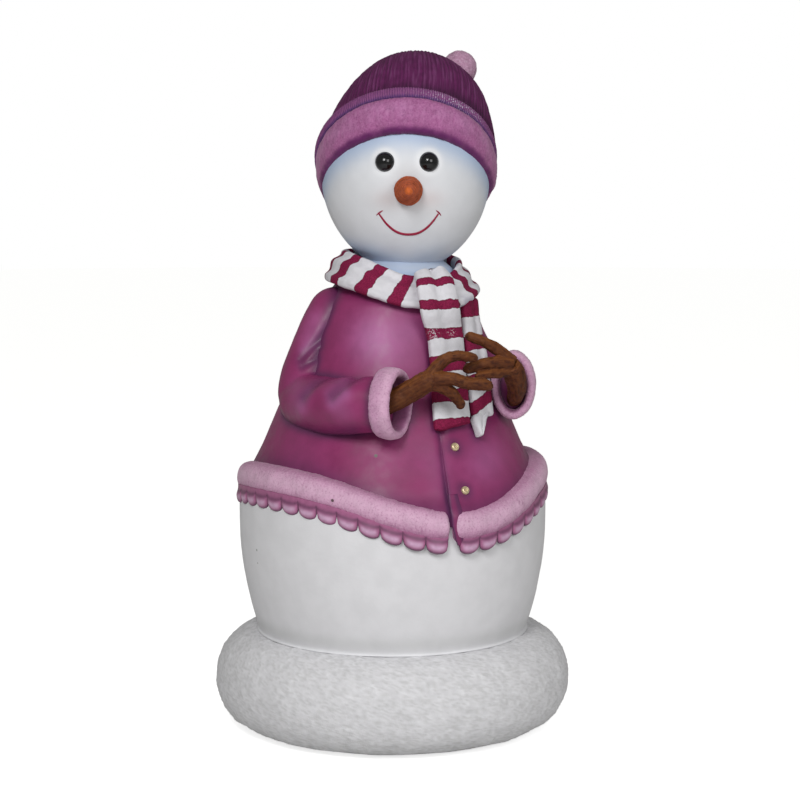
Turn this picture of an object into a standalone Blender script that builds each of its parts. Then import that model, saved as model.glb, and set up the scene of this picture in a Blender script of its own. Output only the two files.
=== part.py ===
"""A standing snow lady display figure: a moulded, painted winter decoration in one fixed pose.

Metres, +Z up. The origin is the centre of the flat underside of the snow base. The coat opens
towards -Y and the head is turned HEAD_TURN degrees towards the figure's own right (-X).
"""
import math

import bmesh
import bpy
from mathutils import Matrix, Vector

GAP = 0.0003                  # clearance kept between pieces that touch

# Snow base and lower snowball
BASE_FOOT_RADIUS = 0.340
BASE_RADIUS = 0.481
BASE_WIDEST_Z = 0.130
BASE_TOP_Z = 0.255
WAIST_RADIUS = 0.362          # where the snowball stands on the base
BALL_RADIUS = 0.415
BALL_WIDEST_Z = 0.578
BALL_TOP_Z = 0.655
BALL_SHOULDER_Z = 0.612        # under the coat, the snowball draws in above this height
BALL_SHOULDER_DROP = 0.016     # and is this much narrower at its top
RING_STEPS = 36

# Coat
COAT_TOP_Z = 1.190
COAT_PROFILE = (              # (height, radius) down the outside of the coat
    (1.190, 0.150), (1.150, 0.193), (1.090, 0.215), (0.900, 0.289), (0.765, 0.347),
    (0.715, 0.373), (0.688, 0.388), (0.662, 0.400), (0.630, 0.4245), (0.585, 0.429),
)
HEM_Z = 0.694                 # centre of the hem roll where it is highest, at the sides
HEM_DIP = 0.100               # how much lower it hangs at the front and at the back
HEM_DIPS = ((-5.0, 41.0), (180.0, 55.0))   # azimuth and width of each low place, in degrees
HEM_RADIUS = 0.384            # of the roll's centre line at the sides
HEM_FLARE = 0.35              # growth of that radius for each metre below COAT_HIP_Z
HEM_HALF_HEIGHT = 0.041
HEM_HALF_DEPTH = 0.039
OPENING_AZIMUTH = -9.5        # where the coat's front edges meet, degrees from -Y towards +X
HEM_SPLIT = 1.2               # half the opening's angle, in degrees
HEM_SIDES = 8
COAT_HIP_Z = 0.662            # below this the coat's rings follow the dipping edge
COAT_LIP_Z = 0.650            # lowest edge of the coat behind the hem at the sides
COAT_FLOOR_RADIUS = 0.375     # where the coat's edge turns in, inside the snowball
CUTTER_FLOOR_Z = 0.570        # height where the coat's cutter closes flat
SCALLOP_COUNT = 46
SCALLOP_DROP = 0.070          # from the hem's centre to a scallop's tip
SCALLOP_DEPTH = 0.014
SCALLOP_RADIUS = 0.4215
SCALLOP_FLARE = 0.20          # growth of that radius for each metre below COAT_HIP_Z
SCALLOP_TUCK = 0.006          # the strip's upper edge stands this much closer in
SCALLOP_CLEAR = 0.0045        # and stops this far under the hem roll
SCALLOP_HALF_THICKNESS = 0.0022
BUTTON_RADIUS = 0.0105
BUTTON_AZIMUTH = -2.0
BUTTON_HEIGHTS = {"button_upper": 0.787, "button_lower": 0.682}

# Sleeves, cuffs and twig hands: x, y, z and radius along each centre line, for the right side
UPPER_SLEEVE = (
    (-0.115, 0.020, 1.135, 0.050), (-0.155, 0.028, 1.118, 0.068), (-0.182, 0.032, 1.085, 0.066),
    (-0.210, 0.032, 1.025, 0.067), (-0.240, 0.025, 0.950, 0.074), (-0.255, 0.018, 0.895, 0.073),
    (-0.258, 0.014, 0.850, 0.050),
    (-0.258, 0.012, 0.828, 0.022),
)
LOWER_SLEEVE = (
    (-0.243, 0.070, 0.890, 0.030), (-0.250, 0.045, 0.887, 0.060), (-0.260, -0.005, 0.884, 0.074),
    (-0.266, -0.090, 0.884, 0.076), (-0.258, -0.180, 0.889, 0.074), (-0.236, -0.250, 0.898, 0.072),
    (-0.2016, -0.2891, 0.905, 0.071),
)
LOWER_SLEEVE_LEFT = (         # narrower than tall, so it is built round and then stretched in height
    (0.243, 0.070, 0.919, 0.022), (0.250, 0.045, 0.917, 0.045), (0.260, -0.005, 0.914, 0.056),
    (0.258, -0.075, 0.914, 0.056), (0.247, -0.145, 0.920, 0.053), (0.232, -0.215, 0.928, 0.050),
    (0.220, -0.262, 0.937, 0.047),
)
SLEEVE_LEFT_STRETCH = 1.4
UPPER_SLEEVE_LEFT_RISE = 0.003
UPPER_SLEEVE_LEFT_AHEAD = 0.050   # the left shoulder stands this much further forward
CUFF_RADIUS = 0.090
CUFF_BORE = 0.066
CUFF_LENGTH = 0.056
CUFF_STEPS = 20
CUFF_SIDES = 6
CUFF_RIGHT_MOUTH = (-0.1667, -0.3337, 0.905)
CUFF_LEFT_MOUTH = (0.187, -0.306, 0.930)
CUFF_RIGHT_TURN = 38.0        # degrees between a forearm's end and straight ahead, towards +X
CUFF_LEFT_TURN = -38.0
CUFF_LEFT_SQUASH = 0.60       # the left cuff is a narrow oval
ARM_STICKS = {
    "arm_stick_right": (
        (-0.224, -0.281, 0.888, 0.028), (-0.186, -0.310, 0.908, 0.028), (-0.164, -0.326, 0.921, 0.027),
        (-0.137, -0.344, 0.940, 0.027), (-0.115, -0.366, 0.959, 0.028), (-0.094, -0.384, 0.973, 0.023),
    ),
    "arm_stick_left": (
        (0.213, -0.270, 0.888, 0.017), (0.198, -0.299, 0.898, 0.019), (0.184, -0.329, 0.920, 0.022),
        (0.168, -0.351, 0.947, 0.027), (0.149, -0.369, 0.972, 0.028), (0.131, -0.381, 0.993, 0.023),
    ),
}
FINGERS = {
    "finger_right_1": (
        (-0.098, -0.380, 0.985, 0.018), (-0.086, -0.386, 1.004, 0.016), (-0.067, -0.396, 1.021, 0.015),
        (-0.044, -0.403, 1.026, 0.014), (-0.016, -0.406, 1.023, 0.013), (0.007, -0.406, 1.019, 0.010),
    ),
    "finger_right_2": (
        (-0.092, -0.390, 0.971, 0.019), (-0.055, -0.413, 0.968, 0.017), (-0.034, -0.421, 0.960, 0.016),
        (-0.010, -0.430, 0.957, 0.015), (0.017, -0.436, 0.954, 0.015), (0.031, -0.437, 0.948, 0.012),
    ),
    "finger_right_3": (
        (-0.092, -0.382, 0.955, 0.017), (-0.071, -0.391, 0.944, 0.016), (-0.051, -0.393, 0.931, 0.014),
        (-0.033, -0.391, 0.912, 0.013), (-0.021, -0.387, 0.898, 0.011),
    ),
    "finger_left_1": (
        (0.126, -0.378, 1.008, 0.017), (0.102, -0.376, 1.029, 0.015), (0.076, -0.373, 1.045, 0.014),
        (0.053, -0.367, 1.057, 0.013), (0.035, -0.356, 1.065, 0.013), (0.023, -0.349, 1.070, 0.011),
    ),
    "finger_left_2": (
        (0.126, -0.384, 0.997, 0.017), (0.090, -0.385, 1.002, 0.015), (0.062, -0.382, 1.001, 0.015),
        (0.035, -0.377, 0.995, 0.014), (0.004, -0.371, 0.989, 0.012),
    ),
    "finger_left_3": (
        (0.131, -0.378, 0.979, 0.016), (0.096, -0.385, 0.975, 0.013), (0.064, -0.389, 0.974, 0.012),
        (0.038, -0.391, 0.972, 0.011), (0.024, -0.393, 0.971, 0.009),
    ),
}

# Head, face and neck
HEAD_TURN = -30.0
HEAD_CENTRE = (0.0135, -0.0485, 1.490)
HEAD_RADIUS = 0.225
HEAD_HALF_HEIGHT = 0.265
HEAD_MESH = (24, 12)          # segments around and rings down
EYE_RADIUS = 0.026
EYE_SIDE = 0.055
EYE_RISE = 0.020
EYE_SINK = 0.007
NOSE_LENGTH = 0.105
NOSE_BASE_RADIUS = 0.036
NOSE_TIP_RADIUS = 0.009
NOSE_DROP = 0.053
NOSE_SINK = 0.010
NOSE_SIDES = 12
NECK_CENTRE = (0.012, -0.035)
NECK_RADIUS = 0.145
NECK_TOP_Z = 1.275
NECK_STEPS = 18

# Knitted hat, laid out about the tilted plane of its brim
CAP_BACK = 0.020              # the hat's centre is this far behind the head's
CROWN_SIDE = 0.011            # the knitted crown leans this far towards the head's left
CROWN_Z = 1.515
CROWN_RADII = (0.230, 0.250, 0.290)
BRIM_TILT = 38.0              # degrees, leaning back
BRIM_PLANE_Z = 1.436          # where the brim's plane crosses the head's centre line
ROLL_SPAN = (-0.018, 0.070)   # brim roll's edges, measured up from the brim's plane
ROLL_PROUD = 0.014
BAND_SPAN = (0.0703, 0.0997)
BAND_PROUD = 0.013
CROWN_EDGE = 0.100
HAT_INSET = 0.030             # how far a ring's inner side runs in before the head is cut out
POMPOM_RADIUS = 0.047
POMPOM_CENTRE = (0.186, -0.038, 1.764)

# Scarf
SCARF_THICKNESS = 0.030
WRAP_INNER = 0.150
WRAP_OUTER = 0.200
WRAP_TOP_Z = 1.277
WRAP_BOTTOM_Z = 1.203
WRAP_FRONT_DROP = 0.062
WRAP_FRONT_AZIMUTH = -5.0
TAIL_WIDTH = 0.108
TAIL_THICKNESS = 0.026
FRONT_TAIL = (                # (azimuth in degrees, height, distance from the axis)
    (-1.5, 1.240, 0.192), (-2.4, 1.216, 0.222), (-3.4, 1.193, 0.241), (-2.1, 1.155, 0.257),
    (-0.5, 1.110, 0.255), (2.5, 1.065, 0.250), (2.4, 1.010, 0.266), (0.4, 0.940, 0.290),
    (-1.1, 0.890, 0.311), (-2.5, 0.835, 0.333),
)
REAR_TAIL_WIDTH = 0.084
REAR_TAIL = (
    (31.0, 1.155, 0.230), (32.0, 1.105, 0.232), (28.0, 1.050, 0.250), (24.5, 0.985, 0.275),
    (21.0, 0.938, 0.291), (17.0, 0.872, 0.318), (14.0, 0.820, 0.340),
)

FINISHES = {                  # colour, roughness, metallic
    "snow_plaster": ((0.80, 0.80, 0.80), 0.85, 0.0),
    "coat_plum": ((0.30, 0.06, 0.18), 0.50, 0.0),
    "fleece_pink": ((0.62, 0.30, 0.50), 0.85, 0.0),
    "scallop_pink": ((0.45, 0.14, 0.32), 0.70, 0.0),
    "twig_brown": ((0.16, 0.06, 0.02), 0.80, 0.0),
    "button_brass": ((0.62, 0.48, 0.20), 0.35, 0.9),
    "scarf_knit": ((0.72, 0.72, 0.74), 0.80, 0.0),
    "face_white": ((0.78, 0.80, 0.82), 0.55, 0.0),
    "eye_black": ((0.01, 0.01, 0.01), 0.10, 0.0),
    "carrot_orange": ((0.40, 0.09, 0.02), 0.60, 0.0),
    "hat_plum": ((0.10, 0.02, 0.08), 0.70, 0.0),
    "hat_mauve": ((0.30, 0.12, 0.28), 0.75, 0.0),
}


def clear_scene():
    """Starts from an empty scene."""
    for obj in list(bpy.data.objects):
        bpy.data.objects.remove(obj, do_unlink=True)


def make_collection(name):
    """A new collection under the scene."""
    collection = bpy.data.collections.new(name)
    bpy.context.scene.collection.children.link(collection)
    return collection


def make_material(name):
    """The Principled finish listed under that name."""
    colour, roughness, metallic = FINISHES[name]
    material = bpy.data.materials.new(name)
    material.use_nodes = True
    shader = material.node_tree.nodes["Principled BSDF"]
    shader.inputs["Base Color"].default_value = (*colour, 1.0)
    shader.inputs["Roughness"].default_value = roughness
    shader.inputs["Metallic"].default_value = metallic
    material.diffuse_color = (*colour, 1.0)
    return material


class Studio:
    """Holds the collections and finishes that every piece goes into."""

    def __init__(self):
        self.parts = make_collection("snow_lady")
        self.cutters = make_collection("cutters")
        self.materials = {name: make_material(name) for name in FINISHES}

    def part(self, name, mesh, finish):
        """Adds a finished piece, shaded smooth."""
        obj = bpy.data.objects.new(name, mesh)
        mesh.materials.append(self.materials[finish])
        mesh.shade_smooth()
        self.parts.objects.link(obj)
        return obj

    def cutter(self, name, mesh):
        """Adds a hidden shape that only cuts others."""
        obj = bpy.data.objects.new("cut_" + name, mesh)
        obj.hide_render = True
        obj.display_type = "WIRE"
        self.cutters.objects.link(obj)
        return obj


def mesh_from(bm, name):
    """Turns a bmesh into a mesh with its faces pointing out."""
    bmesh.ops.recalc_face_normals(bm, faces=bm.faces)
    mesh = bpy.data.meshes.new(name)
    bm.to_mesh(mesh)
    bm.free()
    return mesh


def loft(name, rings, around=True):
    """A closed solid over rings of equal point counts.

    With around, each ring is a closed section and the two end sections are capped. Without it
    the rings themselves close into a loop, so that the solid is a ring with no ends.
    """
    bm = bmesh.new()
    rows = [[bm.verts.new(point) for point in ring] for ring in rings]
    pairs = list(zip(rows, rows[1:]))
    if not around:
        pairs.append((rows[-1], rows[0]))
    count = len(rows[0])
    for first, second in pairs:
        for i in range(count):
            j = (i + 1) % count
            bm.faces.new((first[i], first[j], second[j], second[i]))
    bmesh.ops.triangulate(bm, faces=bm.faces, quad_method="FIXED")
    if around:
        bm.faces.new(rows[0])
        bm.faces.new(rows[-1])
    return mesh_from(bm, name)


def turned(obj, steps):
    """Turns an outline mesh about Z into a solid of revolution."""
    screw = obj.modifiers.new("turn", "SCREW")
    screw.steps = steps
    screw.render_steps = steps
    screw.use_merge_vertices = True
    screw.merge_threshold = 0.0001
    return obj


def outline(name, points):
    """A chain of edges through (radius, height) points at +X."""
    mesh = bpy.data.meshes.new(name)
    edges = [(i, i + 1) for i in range(len(points) - 1)]
    mesh.from_pydata([(r, 0.0, z) for r, z in points], edges, [])
    return mesh


def ellipsoid(name, centre, radii, segments, rings, turn=0.0):
    """A sphere primitive stretched to three radii, turned about Z and moved into place."""
    bm = bmesh.new()
    bmesh.ops.create_uvsphere(bm, u_segments=segments, v_segments=rings, radius=1.0)
    place = Matrix.Translation(centre) @ Matrix.Rotation(math.radians(turn), 4, "Z")
    bmesh.ops.transform(bm, matrix=place @ Matrix.Diagonal((*radii, 1.0)), verts=bm.verts)
    return mesh_from(bm, name)


def smooth_route(stations, per_span=3):
    """Points on a Catmull-Rom curve through the stations, whatever number of values each holds."""
    padded = [stations[0], *stations, stations[-1]]
    route = []
    for a, b, c, d in zip(padded, padded[1:], padded[2:], padded[3:]):
        for k in range(per_span):
            t = k / per_span
            route.append(tuple(
                0.5 * (2 * q + (r - p) * t + (2 * p - 5 * q + 4 * r - s) * t * t
                       + (3 * q - p - 3 * r + s) * t ** 3)
                for p, q, r, s in zip(a, b, c, d)))
    route.append(stations[-1])
    return route


def tube(name, stations, per_span=2, resolution=2):
    """A round bar through (x, y, z, radius) stations, as a closed mesh."""
    curve = bpy.data.curves.new(name, "CURVE")
    curve.dimensions = "3D"
    curve.bevel_depth = 1.0
    curve.bevel_resolution = resolution
    curve.use_fill_caps = True
    route = smooth_route(stations, per_span)
    spline = curve.splines.new("POLY")
    spline.points.add(len(route) - 1)
    for point, (x, y, z, radius) in zip(spline.points, route):
        point.co = (x, y, z, 1.0)
        point.radius = radius
    guide = bpy.data.objects.new(name + "_route", curve)
    bpy.context.scene.collection.objects.link(guide)
    depsgraph = bpy.context.evaluated_depsgraph_get()
    mesh = bpy.data.meshes.new_from_object(guide.evaluated_get(depsgraph))
    bpy.data.objects.remove(guide, do_unlink=True)
    bm = bmesh.new()
    bm.from_mesh(mesh)
    bmesh.ops.remove_doubles(bm, verts=bm.verts, dist=0.0001)
    bpy.data.meshes.remove(mesh)
    return mesh_from(bm, name)


def carve(obj, *cutters):
    """Cuts each cutter out of a piece."""
    for cutter in cutters:
        cut = obj.modifiers.new(cutter.name, "BOOLEAN")
        cut.operation = "DIFFERENCE"
        cut.solver = "EXACT"
        cut.object = cutter
    return obj


def join(obj, other):
    """Adds another shape to a piece, as one solid."""
    union = obj.modifiers.new(other.name, "BOOLEAN")
    union.operation = "UNION"
    union.solver = "EXACT"
    union.object = other
    return obj


def around_axis(azimuth, radius, z):
    """The point at an azimuth, in degrees from -Y and positive towards +X."""
    angle = math.radians(azimuth)
    return (radius * math.sin(angle), -radius * math.cos(angle), z)


def profile_radius(profile, z):
    """Radius at a height, read off a (height, radius) profile that runs downwards."""
    for (z_high, r_high), (z_low, r_low) in zip(profile, profile[1:]):
        if z >= z_low:
            share = (z_high - z) / (z_high - z_low)
            return r_high + (r_low - r_high) * min(max(share, 0.0), 1.0)
    return profile[-1][1]


def ball_radius(z):
    """Radius of the lower snowball at a height."""
    reach = abs((BALL_WIDEST_Z - z) / (BALL_WIDEST_Z - BASE_TOP_Z))
    shoulder = max(0.0, z - BALL_SHOULDER_Z) / (BALL_TOP_Z - BALL_SHOULDER_Z)
    draw_in = BALL_SHOULDER_DROP * shoulder ** 2
    return BALL_RADIUS - (BALL_RADIUS - WAIST_RADIUS) * reach ** 2.17 - draw_in


def hem_height(azimuth):
    """Height of the hem roll's centre at an azimuth."""
    z = HEM_Z
    for low_azimuth, width in HEM_DIPS:
        away = (azimuth - low_azimuth + 180.0) % 360.0 - 180.0
        z -= HEM_DIP * math.exp(-((away / width) ** 2))
    return z


def flared(radius, flare, azimuth):
    """A radius at the hem, wider wherever the hem hangs below the coat's hip."""
    return radius + flare * max(0.0, COAT_HIP_Z - hem_height(azimuth))


def base_outline():
    """Outside of the snow base, from the top's centre to the underside's centre."""
    points = [(0.0, BASE_TOP_Z), (WAIST_RADIUS, BASE_TOP_Z)]
    for k in range(1, 5):
        angle = math.radians(90.0 - 90.0 * k / 4)
        radius = WAIST_RADIUS + (BASE_RADIUS - WAIST_RADIUS) * math.cos(angle)
        points.append((radius, BASE_WIDEST_Z + (BASE_TOP_Z - BASE_WIDEST_Z) * math.sin(angle)))
    for k in range(1, 5):
        angle = math.radians(90.0 * k / 4)
        radius = BASE_FOOT_RADIUS + (BASE_RADIUS - BASE_FOOT_RADIUS) * math.cos(angle) ** 0.8
        points.append((radius, BASE_WIDEST_Z * (1.0 - math.sin(angle) ** 0.9)))
    points.append((0.0, 0.0))
    return points


def ball_outline(grow=0.0):
    """Outside of the lower snowball, from its flat top down to its seat on the base."""
    bottom = BASE_TOP_Z + GAP
    points = [(0.0, BALL_TOP_Z + grow)]
    for z in (BALL_TOP_Z, BALL_TOP_Z - 0.015):
        points.append((ball_radius(z) + grow, z + (grow if z == BALL_TOP_Z else 0.0)))
    for k in range(7):
        z = BALL_SHOULDER_Z + (bottom - BALL_SHOULDER_Z) * k / 6
        points.append((ball_radius(z) + grow, z))
    points.append((0.0, bottom))
    return points


def build_snow(studio):
    """The fat rough base and the smooth snowball that stands on it."""
    turned(studio.part("snow_base", outline("snow_base", base_outline()), "snow_plaster"), RING_STEPS)
    turned(studio.part("snow_body", outline("snow_body", ball_outline()), "snow_plaster"), RING_STEPS)
    return turned(studio.cutter("snowball", outline("snowball", ball_outline(GAP))), RING_STEPS)


def coat_rings(grow=0.0):
    """Rings down the outside of the coat, whose lower edge follows the dipping hem."""
    azimuths = [90.0 - 360.0 * k / RING_STEPS for k in range(RING_STEPS)]
    edge = {a: min(hem_height(a), COAT_LIP_Z) - grow for a in azimuths}
    rings = []
    for z, radius in COAT_PROFILE:
        if z >= COAT_HIP_Z:
            top = grow if z == COAT_TOP_Z else 0.0
            rings.append([around_axis(a, radius + grow, z + top) for a in azimuths])
    for share in (0.5, 1.0):
        ring = []
        for a in azimuths:
            z = COAT_HIP_Z + (edge[a] - COAT_HIP_Z) * share
            ring.append(around_axis(a, profile_radius(COAT_PROFILE, z) + grow, z))
        rings.append(ring)
    return rings, azimuths, edge


def build_coat(studio, snowball):
    """The bell of the coat, standing over the snowball's top, with its hem and scallops."""
    rings, azimuths, edge = coat_rings()
    rings.append([around_axis(a, COAT_FLOOR_RADIUS, edge[a]) for a in azimuths])
    carve(studio.part("coat_body", loft("coat_body", rings), "coat_plum"), snowball)
    outside, azimuths, _ = coat_rings(GAP)
    outside.append([around_axis(a, COAT_FLOOR_RADIUS, CUTTER_FLOOR_Z) for a in azimuths])
    coat = studio.cutter("coat", loft("coat", outside))
    carve(studio.part("hem_roll", hem_mesh(), "fleece_pink"), snowball, coat)
    studio.part("scallop_edging", scallop_mesh(), "scallop_pink")
    return coat


def hem_mesh():
    """The fleece roll around the hem, open at the front edge of the coat."""
    start = OPENING_AZIMUTH + HEM_SPLIT
    span = 360.0 - 2.0 * HEM_SPLIT
    end_cap = ((0.0, 0.45), (0.006, 0.85))
    stations = [(start + angle, share) for angle, share in
                [(math.degrees(x / HEM_RADIUS), s) for x, s in end_cap]]
    steps = 28
    stations += [(start + 2.4 + (span - 4.8) * k / steps, 1.0) for k in range(steps + 1)]
    stations += [(start + span - math.degrees(x / HEM_RADIUS), s) for x, s in reversed(end_cap)]
    rings = []
    for azimuth, share in stations:
        centre = flared(HEM_RADIUS, HEM_FLARE, azimuth)
        ring = []
        for k in range(HEM_SIDES):
            angle = math.tau * (k + 0.5) / HEM_SIDES
            out = HEM_HALF_DEPTH * share * math.cos(angle)
            up = HEM_HALF_HEIGHT * share * math.sin(angle)
            ring.append(around_axis(azimuth, centre + out, hem_height(azimuth) + up))
        rings.append(ring)
    return loft("hem_roll", rings)


def under_hem(azimuth, radius):
    """Height just under the hem roll at an azimuth and a radius."""
    out = (radius - flared(HEM_RADIUS, HEM_FLARE, azimuth)) / HEM_HALF_DEPTH
    return hem_height(azimuth) - HEM_HALF_HEIGHT * math.sqrt(1.0 - out * out) - SCALLOP_CLEAR


def scallop_mesh():
    """The scalloped edging that hangs below the hem, as one wavy strip open at the front."""
    start = OPENING_AZIMUTH + HEM_SPLIT + 0.3
    span = 360.0 - 2.0 * (HEM_SPLIT + 0.3)
    steps = SCALLOP_COUNT * 2
    rings = []
    for k in range(steps + 1):
        azimuth = start + span * k / steps
        lobe = abs(math.sin(math.pi * SCALLOP_COUNT * k / steps))
        centre = hem_height(azimuth)
        tip = centre - SCALLOP_DROP + SCALLOP_DEPTH * (1.0 - lobe)
        radius = flared(SCALLOP_RADIUS, SCALLOP_FLARE, azimuth)
        tucked = radius - SCALLOP_TUCK
        half = SCALLOP_HALF_THICKNESS
        top = under_hem(azimuth, tucked + half)
        rings.append([
            around_axis(azimuth, tucked - half, top),
            around_axis(azimuth, tucked + half, top),
            around_axis(azimuth, radius + half * 0.7, tip),
            around_axis(azimuth, radius - half * 0.7, tip),
        ])
    return loft("scallop_edging", rings)


def build_buttons(studio, coat):
    """Two small domed metal buttons down the front edge."""
    for name, z in BUTTON_HEIGHTS.items():
        radius = profile_radius(COAT_PROFILE, z)
        slope = profile_radius(COAT_PROFILE, z - 0.01) - profile_radius(COAT_PROFILE, z + 0.01)
        lean = math.degrees(math.atan2(slope, 0.02))
        bm = bmesh.new()
        bmesh.ops.create_cone(bm, cap_ends=True, segments=20, depth=0.010,
                              radius1=BUTTON_RADIUS, radius2=BUTTON_RADIUS * 0.72)
        tilt = Matrix.Rotation(math.radians(90.0 - lean), 4, "X")
        turn = Matrix.Rotation(math.radians(BUTTON_AZIMUTH), 4, "Z")
        place = Matrix.Translation(around_axis(BUTTON_AZIMUTH, radius + 0.001, z))
        bmesh.ops.transform(bm, matrix=place @ turn @ tilt, verts=bm.verts)
        carve(studio.part(name, mesh_from(bm, name), "button_brass"), coat)


def mirrored(stations, ahead, rise):
    """The same stations on the figure's left side, further forward and raised."""
    return tuple((-x, y - ahead, z + rise, r) for x, y, z, r in stations)


def cuff_mesh(mouth, turn, squash):
    """A fleece cuff: a rounded ring about the forearm's end, its mouth at the given point."""
    middle = (CUFF_RADIUS + CUFF_BORE) / 2
    half = (CUFF_RADIUS - CUFF_BORE) / 2
    bm = bmesh.new()
    rows = []
    for k in range(CUFF_STEPS):
        angle = math.tau * k / CUFF_STEPS
        row = []
        for j in range(CUFF_SIDES):
            spin = math.tau * (j + 0.5) / CUFF_SIDES
            radius = middle + half * 1.08 * math.cos(spin)
            depth = CUFF_LENGTH / 2 * (1.0 - math.sin(spin))
            across = (middle * squash + radius - middle) * math.cos(angle)
            row.append(bm.verts.new((across, depth, radius * math.sin(angle))))
        rows.append(row)
    for a, b in zip(rows, rows[1:] + rows[:1]):
        for j in range(CUFF_SIDES):
            k = (j + 1) % CUFF_SIDES
            bm.faces.new((a[j], a[k], b[k], b[j]))
    place = Matrix.Translation(mouth) @ Matrix.Rotation(math.radians(turn), 4, "Z")
    bmesh.ops.transform(bm, matrix=place, verts=bm.verts)
    return mesh_from(bm, "cuff")


def build_arms(studio, coat, wrap):
    """Sleeves, fleece cuffs, and the twig arms and fingers whose tips interlace."""
    sleeves = {
        "right": (UPPER_SLEEVE, LOWER_SLEEVE, 1.0, CUFF_RIGHT_MOUTH, CUFF_RIGHT_TURN, 1.0),
        "left": (mirrored(UPPER_SLEEVE, UPPER_SLEEVE_LEFT_AHEAD, UPPER_SLEEVE_LEFT_RISE), LOWER_SLEEVE_LEFT,
                 SLEEVE_LEFT_STRETCH, CUFF_LEFT_MOUTH, CUFF_LEFT_TURN, CUFF_LEFT_SQUASH),
    }
    for side, (upper, lower, stretch, mouth, turn, squash) in sleeves.items():
        cuff_shape = cuff_mesh(mouth, turn, squash)
        cuff_part = carve(studio.part("cuff_" + side, cuff_shape, "fleece_pink"), coat)
        cuff = studio.cutter("cuff_" + side, grown(cuff_part.data))
        lower = (*lower[:-1], (*forearm_end(mouth, turn), lower[-1][3]))
        forearm = stretched(tube("sleeve_" + side, lower, 1, 2), mouth[2], stretch)
        sleeve = studio.part("sleeve_" + side, forearm, "coat_plum")
        join(sleeve, studio.cutter("upper_sleeve_" + side, tube("upper_sleeve", upper, 1, 2)))
        carve(sleeve, coat, wrap, cuff)
        stick_name = "arm_stick_" + side
        stick = studio.part(stick_name, tube(stick_name, ARM_STICKS[stick_name], 1), "twig_brown")
        carve(stick, studio.cutter("sleeve_" + side, grown(sleeve.data)), coat, cuff)
        neighbours = [studio.cutter(stick_name, grown(stick.data))]
        for name, route in FINGERS.items():
            if name.startswith("finger_" + side):
                finger = studio.part(name, tube(name, rounded_tip(route), 1, 1), "twig_brown")
                carve(finger, *neighbours)
                neighbours.append(studio.cutter(name, grown(finger.data)))


def stretched(mesh, level, factor):
    """A mesh stretched in height about a level."""
    for vert in mesh.vertices:
        vert.co.z = level + (vert.co.z - level) * factor
    return mesh


def forearm_end(mouth, turn):
    """Where the sleeve ends, just behind the cuff."""
    heading = Vector((math.sin(math.radians(turn)), -math.cos(math.radians(turn)), 0.0))
    return Vector(mouth) - heading * (CUFF_LENGTH + 2 * GAP)


def rounded_tip(route):
    """Adds a short narrowing station past a finger's end, so that its tip is blunt and round."""
    (x0, y0, z0, _), (x1, y1, z1, radius) = route[-2:]
    step = Vector((x1 - x0, y1 - y0, z1 - z0)).normalized() * radius * 0.7
    return (*route, (x1 + step.x, y1 + step.y, z1 + step.z, radius * 0.45))


def grown(mesh):
    """A copy of a mesh pushed out along its normals by the clearance."""
    bm = bmesh.new()
    bm.from_mesh(mesh)
    bm.normal_update()
    moved = [vert.co + vert.normal * GAP * 1.5 for vert in bm.verts]
    for vert, place in zip(bm.verts, moved):
        vert.co = place
    return mesh_from(bm, mesh.name + "_grown")


def head_frame():
    """The head's own axes: to its left, forwards and up, as columns with its centre."""
    return Matrix.Translation(HEAD_CENTRE) @ Matrix.Rotation(math.radians(HEAD_TURN), 4, "Z")


def face_point(side, rise, sink):
    """A point on the face, given sideways and upwards from the head's centre."""
    share = 1.0 - (side / HEAD_RADIUS) ** 2 - (rise / HEAD_HALF_HEIGHT) ** 2
    return head_frame() @ Vector((side, -HEAD_RADIUS * math.sqrt(share) + sink, rise))


def build_head(studio, coat):
    """The egg-shaped head on its neck, with eyes and a carrot nose."""
    radii = (HEAD_RADIUS, HEAD_RADIUS, HEAD_HALF_HEIGHT)
    studio.part("head", ellipsoid("head", HEAD_CENTRE, radii, *HEAD_MESH, HEAD_TURN), "face_white")
    grown_radii = tuple(r + GAP for r in radii)
    head = studio.cutter("head", ellipsoid("head", HEAD_CENTRE, grown_radii, *HEAD_MESH, HEAD_TURN))
    for name, side in (("eye_right", -EYE_SIDE), ("eye_left", EYE_SIDE)):
        centre = face_point(side + 0.002, EYE_RISE, EYE_SINK)
        ball = ellipsoid(name, centre, (EYE_RADIUS,) * 3, 12, 7)
        carve(studio.part(name, ball, "eye_black"), head)
    build_nose(studio, head)
    neck_outline = [(0.0, NECK_TOP_Z), (NECK_RADIUS - 0.012, NECK_TOP_Z),
                    (NECK_RADIUS, NECK_TOP_Z - 0.03), (NECK_RADIUS, COAT_TOP_Z + GAP),
                    (0.0, COAT_TOP_Z + GAP)]
    neck = turned(studio.part("neck", outline("neck", neck_outline), "face_white"), NECK_STEPS)
    neck.location = (*NECK_CENTRE, 0.0)
    carve(neck, head)
    around_neck = [(0.0, NECK_TOP_Z + 0.02), (NECK_RADIUS + GAP, NECK_TOP_Z + 0.02),
                   (NECK_RADIUS + GAP, COAT_TOP_Z - 0.02), (0.0, COAT_TOP_Z - 0.02)]
    cutter = turned(studio.cutter("neck", outline("neck_cut", around_neck)), NECK_STEPS)
    cutter.location = (*NECK_CENTRE, 0.0)
    return head, cutter


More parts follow.
